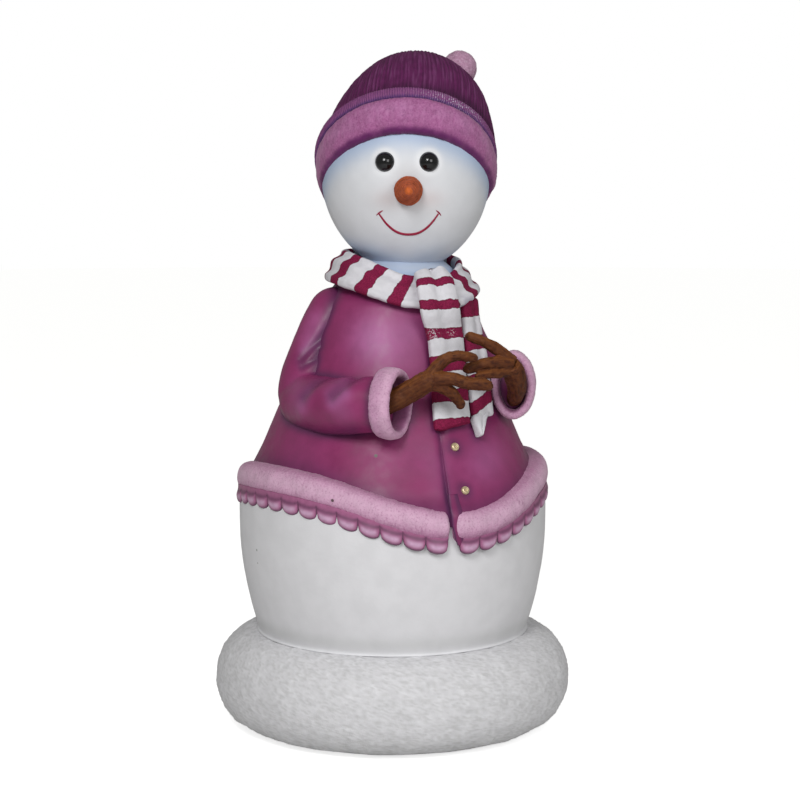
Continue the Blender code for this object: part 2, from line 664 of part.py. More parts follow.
def build_nose(studio, head):
    """A tapered carrot with a blunt tip, pointing straight out of the face."""
    seat = face_point(0.006, -NOSE_DROP, NOSE_SINK)
    steps = ((0.0, 0.86), (0.012, 1.0), (0.035, 0.93), (0.065, 0.70), (0.090, 0.45), (0.110, 0.27),
             (0.115, 0.14))
    rings = []
    for reach, share in steps:
        ring = []
        for k in range(NOSE_SIDES):
            angle = math.tau * k / NOSE_SIDES
            radius = NOSE_BASE_RADIUS * share
            local = Vector((radius * 0.97 * math.cos(angle), -reach, radius * math.sin(angle)))
            ring.append(seat + head_frame().to_3x3() @ local)
        rings.append(ring)
    carve(studio.part("carrot_nose", loft("carrot_nose", rings), "carrot_orange"), head)


def hat_axes():
    """The brim plane's crossing point with the head's centre line, and its three directions."""
    turn = Matrix.Rotation(math.radians(HEAD_TURN), 3, "Z")
    tilt = math.radians(BRIM_TILT)
    side = turn @ Vector((1.0, 0.0, 0.0))
    back = turn @ Vector((0.0, math.cos(tilt), -math.sin(tilt)))
    up = turn @ Vector((0.0, math.sin(tilt), math.cos(tilt)))
    return Vector((HEAD_CENTRE[0], HEAD_CENTRE[1], BRIM_PLANE_Z)), side, back, up


def crown_centre(side=0.0):
    """Centre of the crown's ellipsoid, a little behind the head's and to one side."""
    away = Matrix.Rotation(math.radians(HEAD_TURN), 3, "Z") @ Vector((side, CAP_BACK, 0.0))
    return Vector((HEAD_CENTRE[0] + away.x, HEAD_CENTRE[1] + away.y, CROWN_Z))


def on_crown(angle, rise, proud):
    """A point over the crown's surface, at an angle around the brim and a rise above its plane."""
    origin, side, back, up = hat_axes()
    start = origin + up * rise
    ray = side * math.cos(angle) + back * math.sin(angle)
    squash = Matrix.Rotation(math.radians(-HEAD_TURN), 3, "Z")
    squash = Matrix.Diagonal([1.0 / r for r in CROWN_RADII]) @ squash
    p = squash @ (start - crown_centre())
    d = squash @ ray
    a, b, c = d.dot(d), p.dot(d), p.dot(p) - 1.0
    reach = (-b + math.sqrt(b * b - a * c)) / a
    return start + ray * (reach + proud)


def hat_ring(span, proud, steps=22):
    """A band around the hat between two rises, rounded outside and running into the head."""
    low, high = span
    middle = (low + high) / 2
    section = ((low, -HAT_INSET), (low, proud * 0.2), (low * 0.6 + middle * 0.4, proud * 0.95),
               (high * 0.6 + middle * 0.4, proud * 0.95), (high, proud * 0.2), (high, -HAT_INSET))
    rings = [[on_crown(math.tau * k / steps, rise, out) for rise, out in section]
             for k in range(steps)]
    return rings


def build_hat(studio, head):
    """The knitted hat: a fat brim roll, a ribbed band, the crown and its pompom."""
    carve(studio.part("hat_brim_roll", loft("hat_brim_roll", hat_ring(ROLL_SPAN, ROLL_PROUD), False),
                      "fleece_pink"), head)
    carve(studio.part("hat_rib_band", loft("hat_rib_band", hat_ring(BAND_SPAN, BAND_PROUD), False),
                      "hat_mauve"), head)
    origin, _, _, up = hat_axes()
    crown = crown_mesh(0.0, origin + up * CROWN_EDGE, up)
    carve(studio.part("hat_crown", crown, "hat_plum"), head)
    cutter = studio.cutter("crown", crown_mesh(GAP, origin + up * (CROWN_EDGE - GAP), up))
    pompom = ellipsoid("pompom", POMPOM_CENTRE, (POMPOM_RADIUS,) * 3, 14, 7)
    carve(studio.part("pompom", pompom, "fleece_pink"), cutter)


def crown_mesh(grow, point, up):
    """The crown's ellipsoid, kept above the brim's plane and closed flat there."""
    radii = tuple(r + grow for r in CROWN_RADII)
    mesh = ellipsoid("crown", crown_centre(CROWN_SIDE), radii, *HEAD_MESH, HEAD_TURN)
    bm = bmesh.new()
    bm.from_mesh(mesh)
    bpy.data.meshes.remove(mesh)
    cut = bmesh.ops.bisect_plane(bm, geom=bm.verts[:] + bm.edges[:] + bm.faces[:], dist=1e-6,
                                 plane_co=point, plane_no=up, clear_inner=True)
    edges = [item for item in cut["geom_cut"] if isinstance(item, bmesh.types.BMEdge)]
    bmesh.ops.contextual_create(bm, geom=edges)
    return mesh_from(bm, "hat_crown")


def wrap_mesh(grow=0.0):
    """The scarf's turn around the neck: a thick sloping band that dips at the front."""
    steps = 20
    rings = []
    for k in range(steps):
        azimuth = 360.0 * k / steps
        away = math.radians(azimuth - WRAP_FRONT_AZIMUTH)
        drop = WRAP_FRONT_DROP * max(0.0, math.cos(away)) ** 2
        inner = Vector((WRAP_INNER, WRAP_TOP_Z - drop))
        outer = Vector((WRAP_OUTER, WRAP_BOTTOM_Z - drop))
        centre = (inner + outer) / 2
        along = (outer - inner) / 2
        across = Vector((-along.y, along.x)).normalized() * (SCARF_THICKNESS / 2 + grow)
        along = along * (1.0 + grow / along.length)
        ring = []
        for j in range(8):
            spin = math.tau * (j + 0.5) / 8
            spot = centre + along * 1.08 * math.cos(spin) + across * 1.08 * math.sin(spin)
            x, y, z = around_axis(azimuth, spot.x, spot.y)
            ring.append((x + NECK_CENTRE[0], y + NECK_CENTRE[1], z))
        rings.append(ring)
    return loft("scarf_wrap", rings, around=False)


def tail_mesh(name, route, width, thickness):
    """A hanging end of the scarf: a flat strip that follows the coat."""
    stations = smooth_route(route, 2)
    points = [Vector(around_axis(*_ordered(station))) for station in stations]
    rings = []
    for k, (azimuth, _, _) in enumerate(stations):
        side = Vector(around_axis(azimuth + 90.0, 1.0, 0.0))
        ahead = points[min(k + 1, len(points) - 1)] - points[max(k - 1, 0)]
        face = side.cross(ahead).normalized()
        ring = []
        for across, out in ((-0.5, -0.3), (-0.5, 0.3), (-0.42, 0.5), (0.42, 0.5), (0.5, 0.3), (0.5, -0.3),
                            (0.42, -0.5), (-0.42, -0.5)):
            ring.append(points[k] + side * width * across - face * thickness * out)
        rings.append(ring)
    return loft(name, rings)


def _ordered(station):
    """Azimuth, radius and height of an (azimuth, height, radius) station."""
    azimuth, z, radius = station
    return azimuth, radius, z


def build_scarf(studio, coat, head, neck):
    """The striped scarf: its turn around the neck and two hanging ends."""
    carve(studio.part("scarf_wrap", wrap_mesh(), "scarf_knit"), neck, coat, head)
    wrap = studio.cutter("wrap", wrap_mesh(GAP))
    front = tail_mesh("scarf_tail_front", FRONT_TAIL, TAIL_WIDTH, TAIL_THICKNESS)
    carve(studio.part("scarf_tail_front", front, "scarf_knit"), neck, wrap, coat, head)
    around_front = studio.cutter("tail_front", grown(front))
    rear = tail_mesh("scarf_tail_rear", REAR_TAIL, REAR_TAIL_WIDTH, TAIL_THICKNESS)
    carve(studio.part("scarf_tail_rear", rear, "scarf_knit"), wrap, coat, around_front)
    return wrap


def main():
    """Builds the whole figure."""
    clear_scene()
    studio = Studio()
    snowball = build_snow(studio)
    coat = build_coat(studio, snowball)
    build_buttons(studio, coat)
    head, neck = build_head(studio, coat)
    build_hat(studio, head)
    wrap = build_scarf(studio, coat, head, neck)
    build_arms(studio, coat, wrap)


main()
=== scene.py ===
"""Dresses the standing snow lady: a moulded and hand-painted winter display figure.

Metres, +Z up. The origin is the centre of the snow base's flat underside. Azimuths are degrees
from -Y, where the coat opens, and grow towards +X. The head is turned towards -X.
"""
import logging
import math
from dataclasses import dataclass, field
from enum import Enum
from typing import Callable, ClassVar, Iterable, Sequence

import bmesh
import bpy
import numpy as np
from mathutils import Matrix, Vector, noise
from mathutils.bvhtree import BVHTree


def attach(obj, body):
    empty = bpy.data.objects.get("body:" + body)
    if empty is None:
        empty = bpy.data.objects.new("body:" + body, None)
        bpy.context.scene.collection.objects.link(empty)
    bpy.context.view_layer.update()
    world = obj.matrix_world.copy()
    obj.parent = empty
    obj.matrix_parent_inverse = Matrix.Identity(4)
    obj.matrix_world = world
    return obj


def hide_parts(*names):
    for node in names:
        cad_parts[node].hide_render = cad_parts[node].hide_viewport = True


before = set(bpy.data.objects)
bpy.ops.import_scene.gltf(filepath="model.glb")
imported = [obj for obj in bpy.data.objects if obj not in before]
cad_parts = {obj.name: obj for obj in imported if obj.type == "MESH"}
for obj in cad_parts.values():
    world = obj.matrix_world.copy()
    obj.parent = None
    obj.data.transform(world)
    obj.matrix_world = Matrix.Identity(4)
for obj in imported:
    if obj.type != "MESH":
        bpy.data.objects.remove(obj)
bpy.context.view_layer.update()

LOG = logging.getLogger("snow_lady")
FIGURE = "root"               # the one body that every piece rides on

Array = np.ndarray
Colour = tuple[float, float, float]
Socket = bpy.types.NodeSocket
Piece = bpy.types.Object


# ------------------------------------------------------------------ shapes

def around_axis(azimuth: Array | float, radius: Array | float, z: Array | float) -> Array:
    """Places points around the figure's axis.

    Args:
        azimuth: degrees from -Y, growing towards +X.
        radius: distance from the axis, metres.
        z: height, metres.

    Returns:
        Points with x, y and z on the last axis.
    """
    angle = np.radians(azimuth)
    return np.stack(np.broadcast_arrays(radius * np.sin(angle), -radius * np.cos(angle), z), axis=-1)


def turned_about_z(degrees: float) -> Array:
    """A 3 by 3 matrix that turns a column vector about Z."""
    return np.array(Matrix.Rotation(math.radians(degrees), 3, "Z"))


def smooth_step(value: Array, low: float, high: float) -> Array:
    """Rises from 0 at low to 1 at high with level ends."""
    share = np.clip((value - low) / (high - low), 0.0, 1.0)
    return share * share * (3.0 - 2.0 * share)


def bell(value: Array, middle: float, width: float) -> Array:
    """A soft hump, 1 at the middle and fading over the width."""
    return np.exp(-(((value - middle) / width) ** 2))


def rounded(angle: Array, power: float) -> tuple[Array, Array]:
    """Cosine and sine of a blunter or sharper oval: a power below 1 squares it off."""
    cosine, sine = np.cos(angle), np.sin(angle)
    return (np.sign(cosine) * np.abs(cosine) ** power, np.sign(sine) * np.abs(sine) ** power)


def curve_through(stations: Sequence[Sequence[float]], steps: int) -> Array:
    """Samples a smooth curve through stations of any number of values.

    Args:
        stations: the rows that the curve passes through.
        steps: how many rows to return.

    Returns:
        An array of rows, evenly spread between the stations.
    """
    knots = np.array(stations, float)
    padded = np.vstack([knots[:1], knots, knots[-1:]])
    place = np.linspace(0.0, len(knots) - 1.0, steps)
    span = np.minimum(place.astype(int), len(knots) - 2)
    t = (place - span)[:, None]
    p, q, r, s = (padded[span + k] for k in range(4))
    return 0.5 * (2 * q + (r - p) * t + (2 * p - 5 * q + 4 * r - s) * t ** 2
                  + (3 * q - p - 3 * r + s) * t ** 3)


def sweep(stations: Sequence[Sequence[float]], steps: int, sides: int) -> Array:
    """Rings of a round bar through (x, y, z, radius) stations, without twist.

    Args:
        stations: x, y, z and radius along the bar's centre line.
        steps: rings along it.
        sides: points around it.

    Returns:
        Its rings of points.
    """
    route = curve_through(stations, steps)
    centre, radius = route[:, :3], np.maximum(route[:, 3], 0.001)
    ahead = np.gradient(centre, axis=0)
    ahead /= np.linalg.norm(ahead, axis=1)[:, None]
    side = np.cross(ahead[0], (0.3, 0.1, 0.9))
    angle = np.linspace(0.0, math.tau, sides, endpoint=False)[:, None]
    rings = []
    for middle, size, forward in zip(centre, radius, ahead):
        side = side - forward * side.dot(forward)
        side /= np.linalg.norm(side)
        up = np.cross(forward, side)
        rings.append(middle + size * (np.cos(angle) * side + np.sin(angle) * up))
    return np.array(rings)


def new_piece(name: str, points: Iterable, faces: Iterable) -> Piece:
    """Makes a smooth-shaded mesh object whose faces point outwards.

    Args:
        name: the piece's name.
        points: its points.
        faces: its faces, as point numbers.

    Returns:
        The smooth-shaded piece.
    """
    mesh = bpy.data.meshes.new(name)
    mesh.from_pydata(points, [], faces)
    bm = bmesh.new()
    bm.from_mesh(mesh)
    bmesh.ops.recalc_face_normals(bm, faces=bm.faces)
    bm.to_mesh(mesh)
    bm.free()
    mesh.shade_smooth()
    piece = bpy.data.objects.new(name, mesh)
    bpy.context.scene.collection.objects.link(piece)
    return piece


def skin(name: str, grid: Array, ring: bool = False) -> Piece:
    """Covers rows of closed sections with faces.

    Args:
        name: the piece's name.
        grid: points as (rows, points of a section, 3).
        ring: joins the last row to the first; without it both ends are capped.

    Returns:
        The new piece.
    """
    rows, columns, _ = grid.shape
    index = np.arange(rows * columns).reshape(rows, columns)
    points = grid.reshape(-1, 3)
    faces: list = []
    if ring:
        index = np.vstack([index, index[:1]])
    else:
        for row in (index[0], index[-1]):
            centre = len(points)
            points = np.vstack([points, points[row].mean(axis=0)])
            faces += [(int(a), int(b), centre) for a, b in zip(row, np.roll(row, -1))]
    beside = np.roll(index, -1, axis=1)
    quads = np.stack([index[:-1], beside[:-1], beside[1:], index[1:]], axis=-1)
    return new_piece(name, points.tolist(), quads.reshape(-1, 4).tolist() + faces)


def lathe(name: str, outline: Array, columns: int, centre: tuple[float, float] = (0.0, 0.0)) -> Piece:
    """Turns (radius, height) points about an upright axis.

    Args:
        name: the piece's name.
        outline: radius and height, from the top down.
        columns: points around it.
        centre: where its axis stands.

    Returns:
        The turned piece.
    """
    azimuth = np.linspace(0.0, 360.0, columns, endpoint=False)[None, :]
    grid = around_axis(azimuth, outline[:, :1], outline[:, 1:])
    return skin(name, grid + np.array((*centre, 0.0)))


def places(piece: Piece) -> Array:
    """The piece's points."""
    values = np.empty(len(piece.data.vertices) * 3)
    piece.data.vertices.foreach_get("co", values)
    return values.reshape(-1, 3)


def directions(piece: Piece) -> Array:
    """The outward direction at each point."""
    values = np.empty(len(piece.data.vertices) * 3)
    piece.data.vertex_normals.foreach_get("vector", values)
    return values.reshape(-1, 3)


def move_to(piece: Piece, points: Array) -> None:
    """Moves the piece's points."""
    piece.data.vertices.foreach_set("co", points.ravel())
    piece.data.update()


def puff(piece: Piece, amount: Array) -> None:
    """Pushes each point outwards by an amount in metres."""
    move_to(piece, places(piece) + directions(piece) * amount[:, None])


def wander(points: Array, size: float | Sequence[float], seed: float, octaves: int = 2) -> Array:
    """Smooth noise of about -1 to 1.

    Args:
        points: where to read it.
        size: how large its lumps are, one size or one for each axis.
        seed: a different number gives different lumps.
        octaves: how many finer layers are added.

    Returns:
        One value for each point.
    """
    scaled = points / np.array(size) + np.array((17.3, 5.1, 11.7)) * seed
    return np.array([noise.fractal(p, 0.8, 2.0, octaves) for p in scaled.tolist()])


def voxel_union(name: str, pieces: Sequence[Piece], voxel: float, soften: int) -> Piece:
    """Fuses overlapping pieces into one even skin and removes them.

    Args:
        name: the fused piece's name.
        pieces: closed pieces that overlap.
        voxel: size of the new skin's faces, metres.
        soften: how many rounds of smoothing follow.

    Returns:
        The fused piece.
    """
    points: list = []
    faces: list = []
    for piece in pieces:
        start = len(points)
        points += places(piece).tolist()
        faces += [[start + v for v in face.vertices] for face in piece.data.polygons]
        bpy.data.objects.remove(piece, do_unlink=True)
    rough = new_piece(name + "_rough", points, faces)
    remesh = rough.modifiers.new("fuse", "REMESH")
    remesh.mode = "VOXEL"
    remesh.voxel_size = voxel
    smooth = rough.modifiers.new("soften", "SMOOTH")
    smooth.iterations = soften
    depsgraph = bpy.context.evaluated_depsgraph_get()
    mesh = bpy.data.meshes.new_from_object(rough.evaluated_get(depsgraph))
    mesh.name = name
    mesh.shade_smooth()
    bpy.data.objects.remove(rough, do_unlink=True)
    fused = bpy.data.objects.new(name, mesh)
    bpy.context.scene.collection.objects.link(fused)
    return fused


# ------------------------------------------------------------------ masks for painted shade, painted highlights and marks

def mark(piece: Piece, name: str, values: Array) -> None:
    """Stores a mask that the piece's paint reads by name."""
    attribute = piece.data.attributes.new(name, "FLOAT", "POINT")
    attribute.data.foreach_set("value", np.ascontiguousarray(values, dtype=np.float32))


def closeness(points: Array, neighbours: Iterable[Piece], reach: float) -> Array:
    """How close points are to other pieces.

    Args:
        points: where to measure.
        neighbours: the pieces to measure to.
        reach: distance over which it fades, metres.

    Returns:
        1 on a neighbour's skin, fading to 0.
    """
    least = np.full(len(points), 9.0)
    rows = [Vector(p) for p in points.tolist()]
    for piece in neighbours:
        tree = BVHTree.FromPolygons(places(piece).tolist(), [f.vertices[:] for f in piece.data.polygons])
        for k, point in enumerate(rows):
            hit = tree.find_nearest(point, 2.4 * reach)
            if hit[0] is not None and hit[3] < least[k]:
                least[k] = hit[3]
    return np.exp(-((least / reach) ** 2))


@dataclass(frozen=True)
class Stroke:
    """One stroke along a short route, used for painted shade, painted highlights, marks and folds.

    The route is compared mostly as it is seen from the figure's three-quarter front, so that it
    lies on the surface whatever its depth.
    """

    route: tuple[tuple[float, float, float], ...]
    width: float
    strength: float = 1.0
    depth_weight: float = 0.35

    def distance(self, points: Array) -> Array:
        """Distance from each point to the route, metres.

        Args:
            points: the places to measure.

        Returns:
            How far each lies from the stroke's line.
        """
        toward = around_axis(StudioCamera.azimuth, 1.0, 0.0)
        scale = np.eye(3) - (1.0 - self.depth_weight) * np.outer(toward, toward)
        seen = points @ scale
        route = np.array(self.route, float) @ scale
        if len(route) == 1:
            return np.linalg.norm(seen - route[0], axis=1)
        least = np.full(len(points), 9.0)
        for start, end in zip(route, route[1:]):
            step = end - start
            share = np.clip((seen - start) @ step / step.dot(step), 0.0, 1.0)
            least = np.minimum(least, np.linalg.norm(seen - start - share[:, None] * step, axis=1))
        return least

    def mask(self, points: Array) -> Array:
        """The stroke's strength at each point."""
        return self.strength * np.exp(-((self.distance(points) / self.width) ** 2))


def layered(points: Array, strokes: Iterable[Stroke]) -> Array:
    """Several strokes over each other.

    Args:
        points: the places to paint.
        strokes: the strokes, one over the other.

    Returns:
        How much of the paint each place gets.
    """
    bare = np.ones(len(points))
    for stroke in strokes:
        bare *= 1.0 - np.clip(stroke.mask(points), 0.0, 1.0)
    return 1.0 - bare


# ------------------------------------------------------------------ paints

class Slot(Enum):
    """The finish slots that each piece is logged under."""

    SNOW = "snow_plaster"
    COAT = "coat_plum"
    FLEECE = "fleece_pink"
    SCALLOP = "scallop_pink"
    TWIG = "twig_brown"
    BRASS = "button_brass"
    SCARF = "scarf_knit"
    FACE = "face_white"
    EYE = "eye_black"
    CARROT = "carrot_orange"
    CROWN = "hat_plum"
    BAND = "hat_mauve"


class PaintTable:
    """A material's node sheet, with short ways to mix paint on it."""

    def __init__(self, name: str) -> None:
        """Opens a new material."""
        self.material = bpy.data.materials.new(name)
        self.material.use_nodes = True
        self.tree = self.material.node_tree
        self.shader = self.tree.nodes["Principled BSDF"]
        self.place = self.node("ShaderNodeTexCoord").outputs["Object"]

    def node(self, kind: str, **settings: object) -> bpy.types.Node:
        """Adds a node and sets its properties.

        Args:
            kind: the node's kind.
            settings: values of its fields.

        Returns:
            The new node.
        """
        made = self.tree.nodes.new(kind)
        for key, value in settings.items():
            setattr(made, key, value)
        return made

    def feed(self, socket: Socket, value: Socket | float | Colour) -> None:
        """Links or sets an input.

        Args:
            socket: the input to fill.
            value: an output to link, or a plain value.
        """
        if isinstance(value, bpy.types.NodeSocket):
            self.tree.links.new(value, socket)
        elif isinstance(value, tuple):
            socket.default_value = (*value, 1.0) if len(socket.default_value) == 4 else value
        else:
            socket.default_value = value

    def mask(self, name: str) -> Socket:
        """A mask that mark() stored on the piece."""
        return self.node("ShaderNodeAttribute", attribute_name=name).outputs["Fac"]

    def sum(self, operation: str, a: Socket | float, b: Socket | float = 0.0) -> Socket:
        """One step of arithmetic."""
        made = self.node("ShaderNodeMath", operation=operation)
        self.feed(made.inputs[0], a)
        self.feed(made.inputs[1], b)
        return made.outputs[0]

    def span(self, value: Socket, low: float, high: float, out: tuple[float, float] = (0.0, 1.0)) -> Socket:
        """Maps low..high smoothly onto a pair of values.

        Args:
            value: what is rescaled.
            low: the value that gives out[0].
            high: the value that gives out[1].
            out: the new range.

        Returns:
            The rescaled value.
        """
        made = self.node("ShaderNodeMapRange", interpolation_type="SMOOTHSTEP")
        for key, number in (("Value", value), ("From Min", low), ("From Max", high),
                            ("To Min", out[0]), ("To Max", out[1])):
            self.feed(made.inputs[key], number)
        return made.outputs[0]

    def grain(self, size: float | tuple[float, float, float], detail: float = 2.0) -> Socket:
        """Cloudy noise of about 0.3 to 0.7, its lumps sized in metres."""
        sizes = size if isinstance(size, tuple) else (size, size, size)
        scale = self.node("ShaderNodeVectorMath", operation="MULTIPLY")
        self.feed(scale.inputs[0], self.place)
        self.feed(scale.inputs[1], tuple(1.0 / s for s in sizes))
        made = self.node("ShaderNodeTexNoise")
        self.feed(made.inputs["Vector"], scale.outputs[0])
        self.feed(made.inputs["Scale"], 1.0)
        self.feed(made.inputs["Detail"], detail)
        return made.outputs[0]

    def blend(self, factor: Socket | float, under: Socket | Colour, over: Socket | Colour) -> Socket:
        """Lays one colour over another."""
        made = self.node("ShaderNodeMix", data_type="RGBA")
        self.feed(made.inputs[0], factor)
        self.feed(made.inputs[6], under)
        self.feed(made.inputs[7], over)
        return made.outputs[2]

    def spot(self, centre: tuple[float, float, float], radius: float) -> Socket:
        """A round speck, 1 inside and 0 outside."""
        away = self.node("ShaderNodeVectorMath", operation="DISTANCE")
        self.feed(away.inputs[0], self.place)
        self.feed(away.inputs[1], centre)
        return self.span(away.outputs["Value"], radius * 0.6, radius, (1.0, 0.0))

    def relief(self, height: Socket, depth: float) -> None:
        """Adds fine relief, its full height in metres.

        Args:
            height: the surface's height, from 0 to 1.
            depth: its full height, metres.
        """
        made = self.node("ShaderNodeBump")
        self.feed(made.inputs["Height"], height)
        self.feed(made.inputs["Strength"], 1.0)
        self.feed(made.inputs["Distance"], depth)
        self.tree.links.new(made.outputs["Normal"], self.shader.inputs["Normal"])

    def finish(self, colour: Socket | Colour, roughness: Socket | float) -> bpy.types.Material:
        """Closes the sheet with its colour and roughness.

        Args:
            colour: the paint's colour.
            roughness: how dull it is.

        Returns:
            The finished material.
        """
        self.feed(self.shader.inputs["Base Color"], colour)
        self.feed(self.shader.inputs["Roughness"], roughness)
        return self.material


@dataclass(frozen=True)
class Speck:
    """A small knock or stain in the paint."""

    centre: tuple[float, float, float]
    radius: float
    colour: Colour = (0.06, 0.04, 0.05)


@dataclass(frozen=True)
class MistedPaint:
    """Hand-sprayed paint: a body colour with a darker one for painted shade and a paler one for painted
    highlights misted over it.
    """

    name: str
    body: Colour
    # shade is the colour of the painted shade, light that of the painted highlights
    shade: Colour
    light: Colour
    roughness: float = 0.55
    mottle: float = 0.10          # how far the body colour strays
    mottle_size: float = 0.030
    grain_depth: float = 0.0003   # full height of the finest surface, metres
    grain_size: float = 0.003
    clear_coat: float = 0.0
    specks: tuple[Speck, ...] = ()
    shine: float = 0.35           # how much light its surface mirrors

    def colour(self, table: PaintTable) -> Socket:
        """The body colour with painted highlights and painted shade misted over it, before any specks."""
        stray = table.span(table.grain(self.mottle_size, 3.0), 0.3, 0.7,
                           (1.0 - self.mottle, 1.0 + self.mottle))
        mixed = table.blend(table.mask("light"), self.body, self.light)
        mixed = table.blend(table.mask("shade"), mixed, self.shade)
        scaled = table.node("ShaderNodeVectorMath", operation="SCALE")
        table.feed(scaled.inputs[0], mixed)
        table.feed(scaled.inputs["Scale"], stray)
        return scaled.outputs[0]

    def surface(self, table: PaintTable) -> None:
        """The fine grain of the sprayed surface."""
        table.relief(table.grain(self.grain_size, 3.0), self.grain_depth)

    def material(self) -> bpy.types.Material:
        """Mixes the finished material."""
        table = PaintTable(self.name)
        mixed = self.colour(table)
        for speck in self.specks:
            mixed = table.blend(table.spot(speck.centre, speck.radius), mixed, speck.colour)
        self.surface(table)
        table.shader.inputs["Specular IOR Level"].default_value = self.shine
        table.shader.inputs["Coat Weight"].default_value = self.clear_coat
        table.shader.inputs["Coat Roughness"].default_value = 0.25
        dull = table.span(table.grain(self.mottle_size * 0.5), 0.3, 0.7,
                          (self.roughness - 0.06, self.roughness + 0.06))
        return table.finish(mixed, dull)


@dataclass(frozen=True)
class FleecePaint(MistedPaint):
    """Paint dry-brushed over a moulded fleece, so that its tufts catch paler paint."""

    tuft: float = 0.0045

    def colour(self, table: PaintTable) -> Socket:
        """The misted colour with paler and darker tufts."""
        mixed = super().colour(table)
        tufts = table.grain(self.tuft, 4.0)
        bare = table.span(table.mask("shade"), 0.0, 0.8, (1.0, 0.0))
        pale = table.sum("MULTIPLY", bare, table.span(tufts, 0.50, 0.72, (0.0, 0.50)))
        mixed = table.blend(pale, mixed, self.light)
        return table.blend(table.span(tufts, 0.48, 0.30, (0.0, 0.35)), mixed, self.shade)

    def surface(self, table: PaintTable) -> None:
        """Short soft tufts."""
        table.relief(table.grain(self.tuft * 0.6, 4.0), self.grain_depth)
        table.shader.inputs["Sheen Weight"].default_value = 0.15


@dataclass(frozen=True)
class KnitPaint(MistedPaint):
    """Broad stripes painted over a moulded knit, whose edges wobble with the brush."""

    stripe: Colour = (0.215, 0.012, 0.055)
    edge_wobble: float = 0.0013

    def colour(self, table: PaintTable) -> Socket:
        """White knit with its stripes, a few worn chips and its painted shade."""
        ground = super().colour(table)
        wobble = table.span(table.grain(0.014, 2.0), 0.3, 0.7, (-self.edge_wobble, self.edge_wobble))
        depth = table.sum("ADD", table.mask("stripe"), wobble)
        inside = table.span(depth, -0.0007, 0.0007)
        stray = table.span(table.grain(0.003, 3.0), 0.35, 0.65)
        maroon = table.blend(stray, tuple(c * 0.78 for c in self.stripe),
                             tuple(c * 1.25 for c in self.stripe))
        dark = tuple(c * 0.42 for c in self.stripe)
        maroon = table.blend(table.span(depth, 0.0, 0.0035, (0.65, 0.0)), maroon, dark)
        # painted shade where the scarf lies against other pieces darkens the maroon too
        maroon = table.blend(table.sum("MULTIPLY", table.mask("shade"), 0.6), maroon, dark)
        chip = table.sum("MULTIPLY", table.mask("chip"), table.span(table.grain(0.0045, 1.0), 0.56, 0.60))
        maroon = table.blend(chip, maroon, self.body)
        return table.blend(inside, ground, maroon)

    def surface(self, table: PaintTable) -> None:
        """A fine stitch-like grain."""
        table.relief(table.grain((0.0028, 0.0028, 0.0040), 2.0), self.grain_depth)


@dataclass(frozen=True)
class BarkPaint(MistedPaint):
    """Brown paint over moulded bark, with painted shade in the grooves and painted highlights on the ridges.
    """

    def colour(self, table: PaintTable) -> Socket:
        """Painted shade and highlights from the masks, and warm blotches."""
        mixed = super().colour(table)
        blotch = table.span(table.grain(0.018, 3.0), 0.42, 0.66, (0.0, 0.2))
        return table.blend(blotch, mixed, self.light)


@dataclass(frozen=True)
class StreakPaint(MistedPaint):
    """Dark paint with paler streaks: brush streaks, and painted highlights that follow the knitted ribs."""

    def colour(self, table: PaintTable) -> Socket:
        """The misted colour with the streaks that the piece marks."""
        mixed = super().colour(table)
        mixed = table.blend(table.mask("streak"), mixed, self.light)
        worn = table.sum("MULTIPLY", table.mask("worn"), table.span(table.grain(0.004, 2.0), 0.50, 0.58))
        return table.blend(worn, mixed, (0.62, 0.56, 0.68))


@dataclass(frozen=True)
class FacePaint(MistedPaint):
    """White with pale blue painted shade misted over it, and a warm blush in the cheeks."""

    blush: Colour = (0.58, 0.46, 0.45)

    def colour(self, table: PaintTable) -> Socket:
        """The misted colour with its blush."""
        return table.blend(table.mask("streak"), super().colour(table), self.blush)


@dataclass(frozen=True)
class PlainGloss:
    """One glossy or metallic colour with faint handling marks."""

    name: str
    body: Colour
    roughness: float
    metallic: float = 0.0
    mark: float = 0.05

    def material(self) -> bpy.types.Material:
        """Mixes the finished material."""
        table = PaintTable(self.name)
        cloud = table.span(table.grain(0.006, 3.0), 0.3, 0.7)
        mixed = table.blend(cloud, self.body, tuple(c * 0.8 for c in self.body))
        table.shader.inputs["Metallic"].default_value = self.metallic
        table.relief(table.grain(0.0015, 2.0), 0.00004)
        return table.finish(mixed, table.span(cloud, 0.0, 1.0, (self.roughness, self.roughness + self.mark)))


# Each misted paint gives its body colour, then the colour of its painted shade, then that of its painted
# highlights.
ROUGH_SNOW = MistedPaint("rough_snow_paint", (0.74, 0.735, 0.76), (0.46, 0.46, 0.45), (0.86, 0.86, 0.89),
                         0.85, 0.05, 0.020, 0.0012, 0.004)
SMOOTH_SNOW = MistedPaint("smooth_snow_paint", (0.75, 0.745, 0.77), (0.52, 0.53, 0.52), (0.88, 0.88, 0.91),
                          0.60, 0.03, 0.060, 0.0003, 0.008, 0.0,
                          (Speck((-0.412, -0.006, 0.502), 0.004, (0.35, 0.36, 0.34)),
                           Speck((-0.409, -0.005, 0.467), 0.003, (0.40, 0.40, 0.38))))
FACE_WHITE = FacePaint("pale_face_paint", (0.71, 0.72, 0.75), (0.36, 0.47, 0.66), (0.88, 0.89, 0.92),
                       0.52, 0.02, 0.050, 0.0002, 0.010, shine=0.3)
COAT_PLUM = MistedPaint("plum_coat_paint", (0.258, 0.025, 0.118), (0.095, 0.024, 0.088), (0.44, 0.135, 0.34),
                        0.46, 0.07, 0.050, 0.00015, 0.006, 0.06,
                        (Speck((-0.206, -0.276, 0.769), 0.006, (0.16, 0.13, 0.13)),))
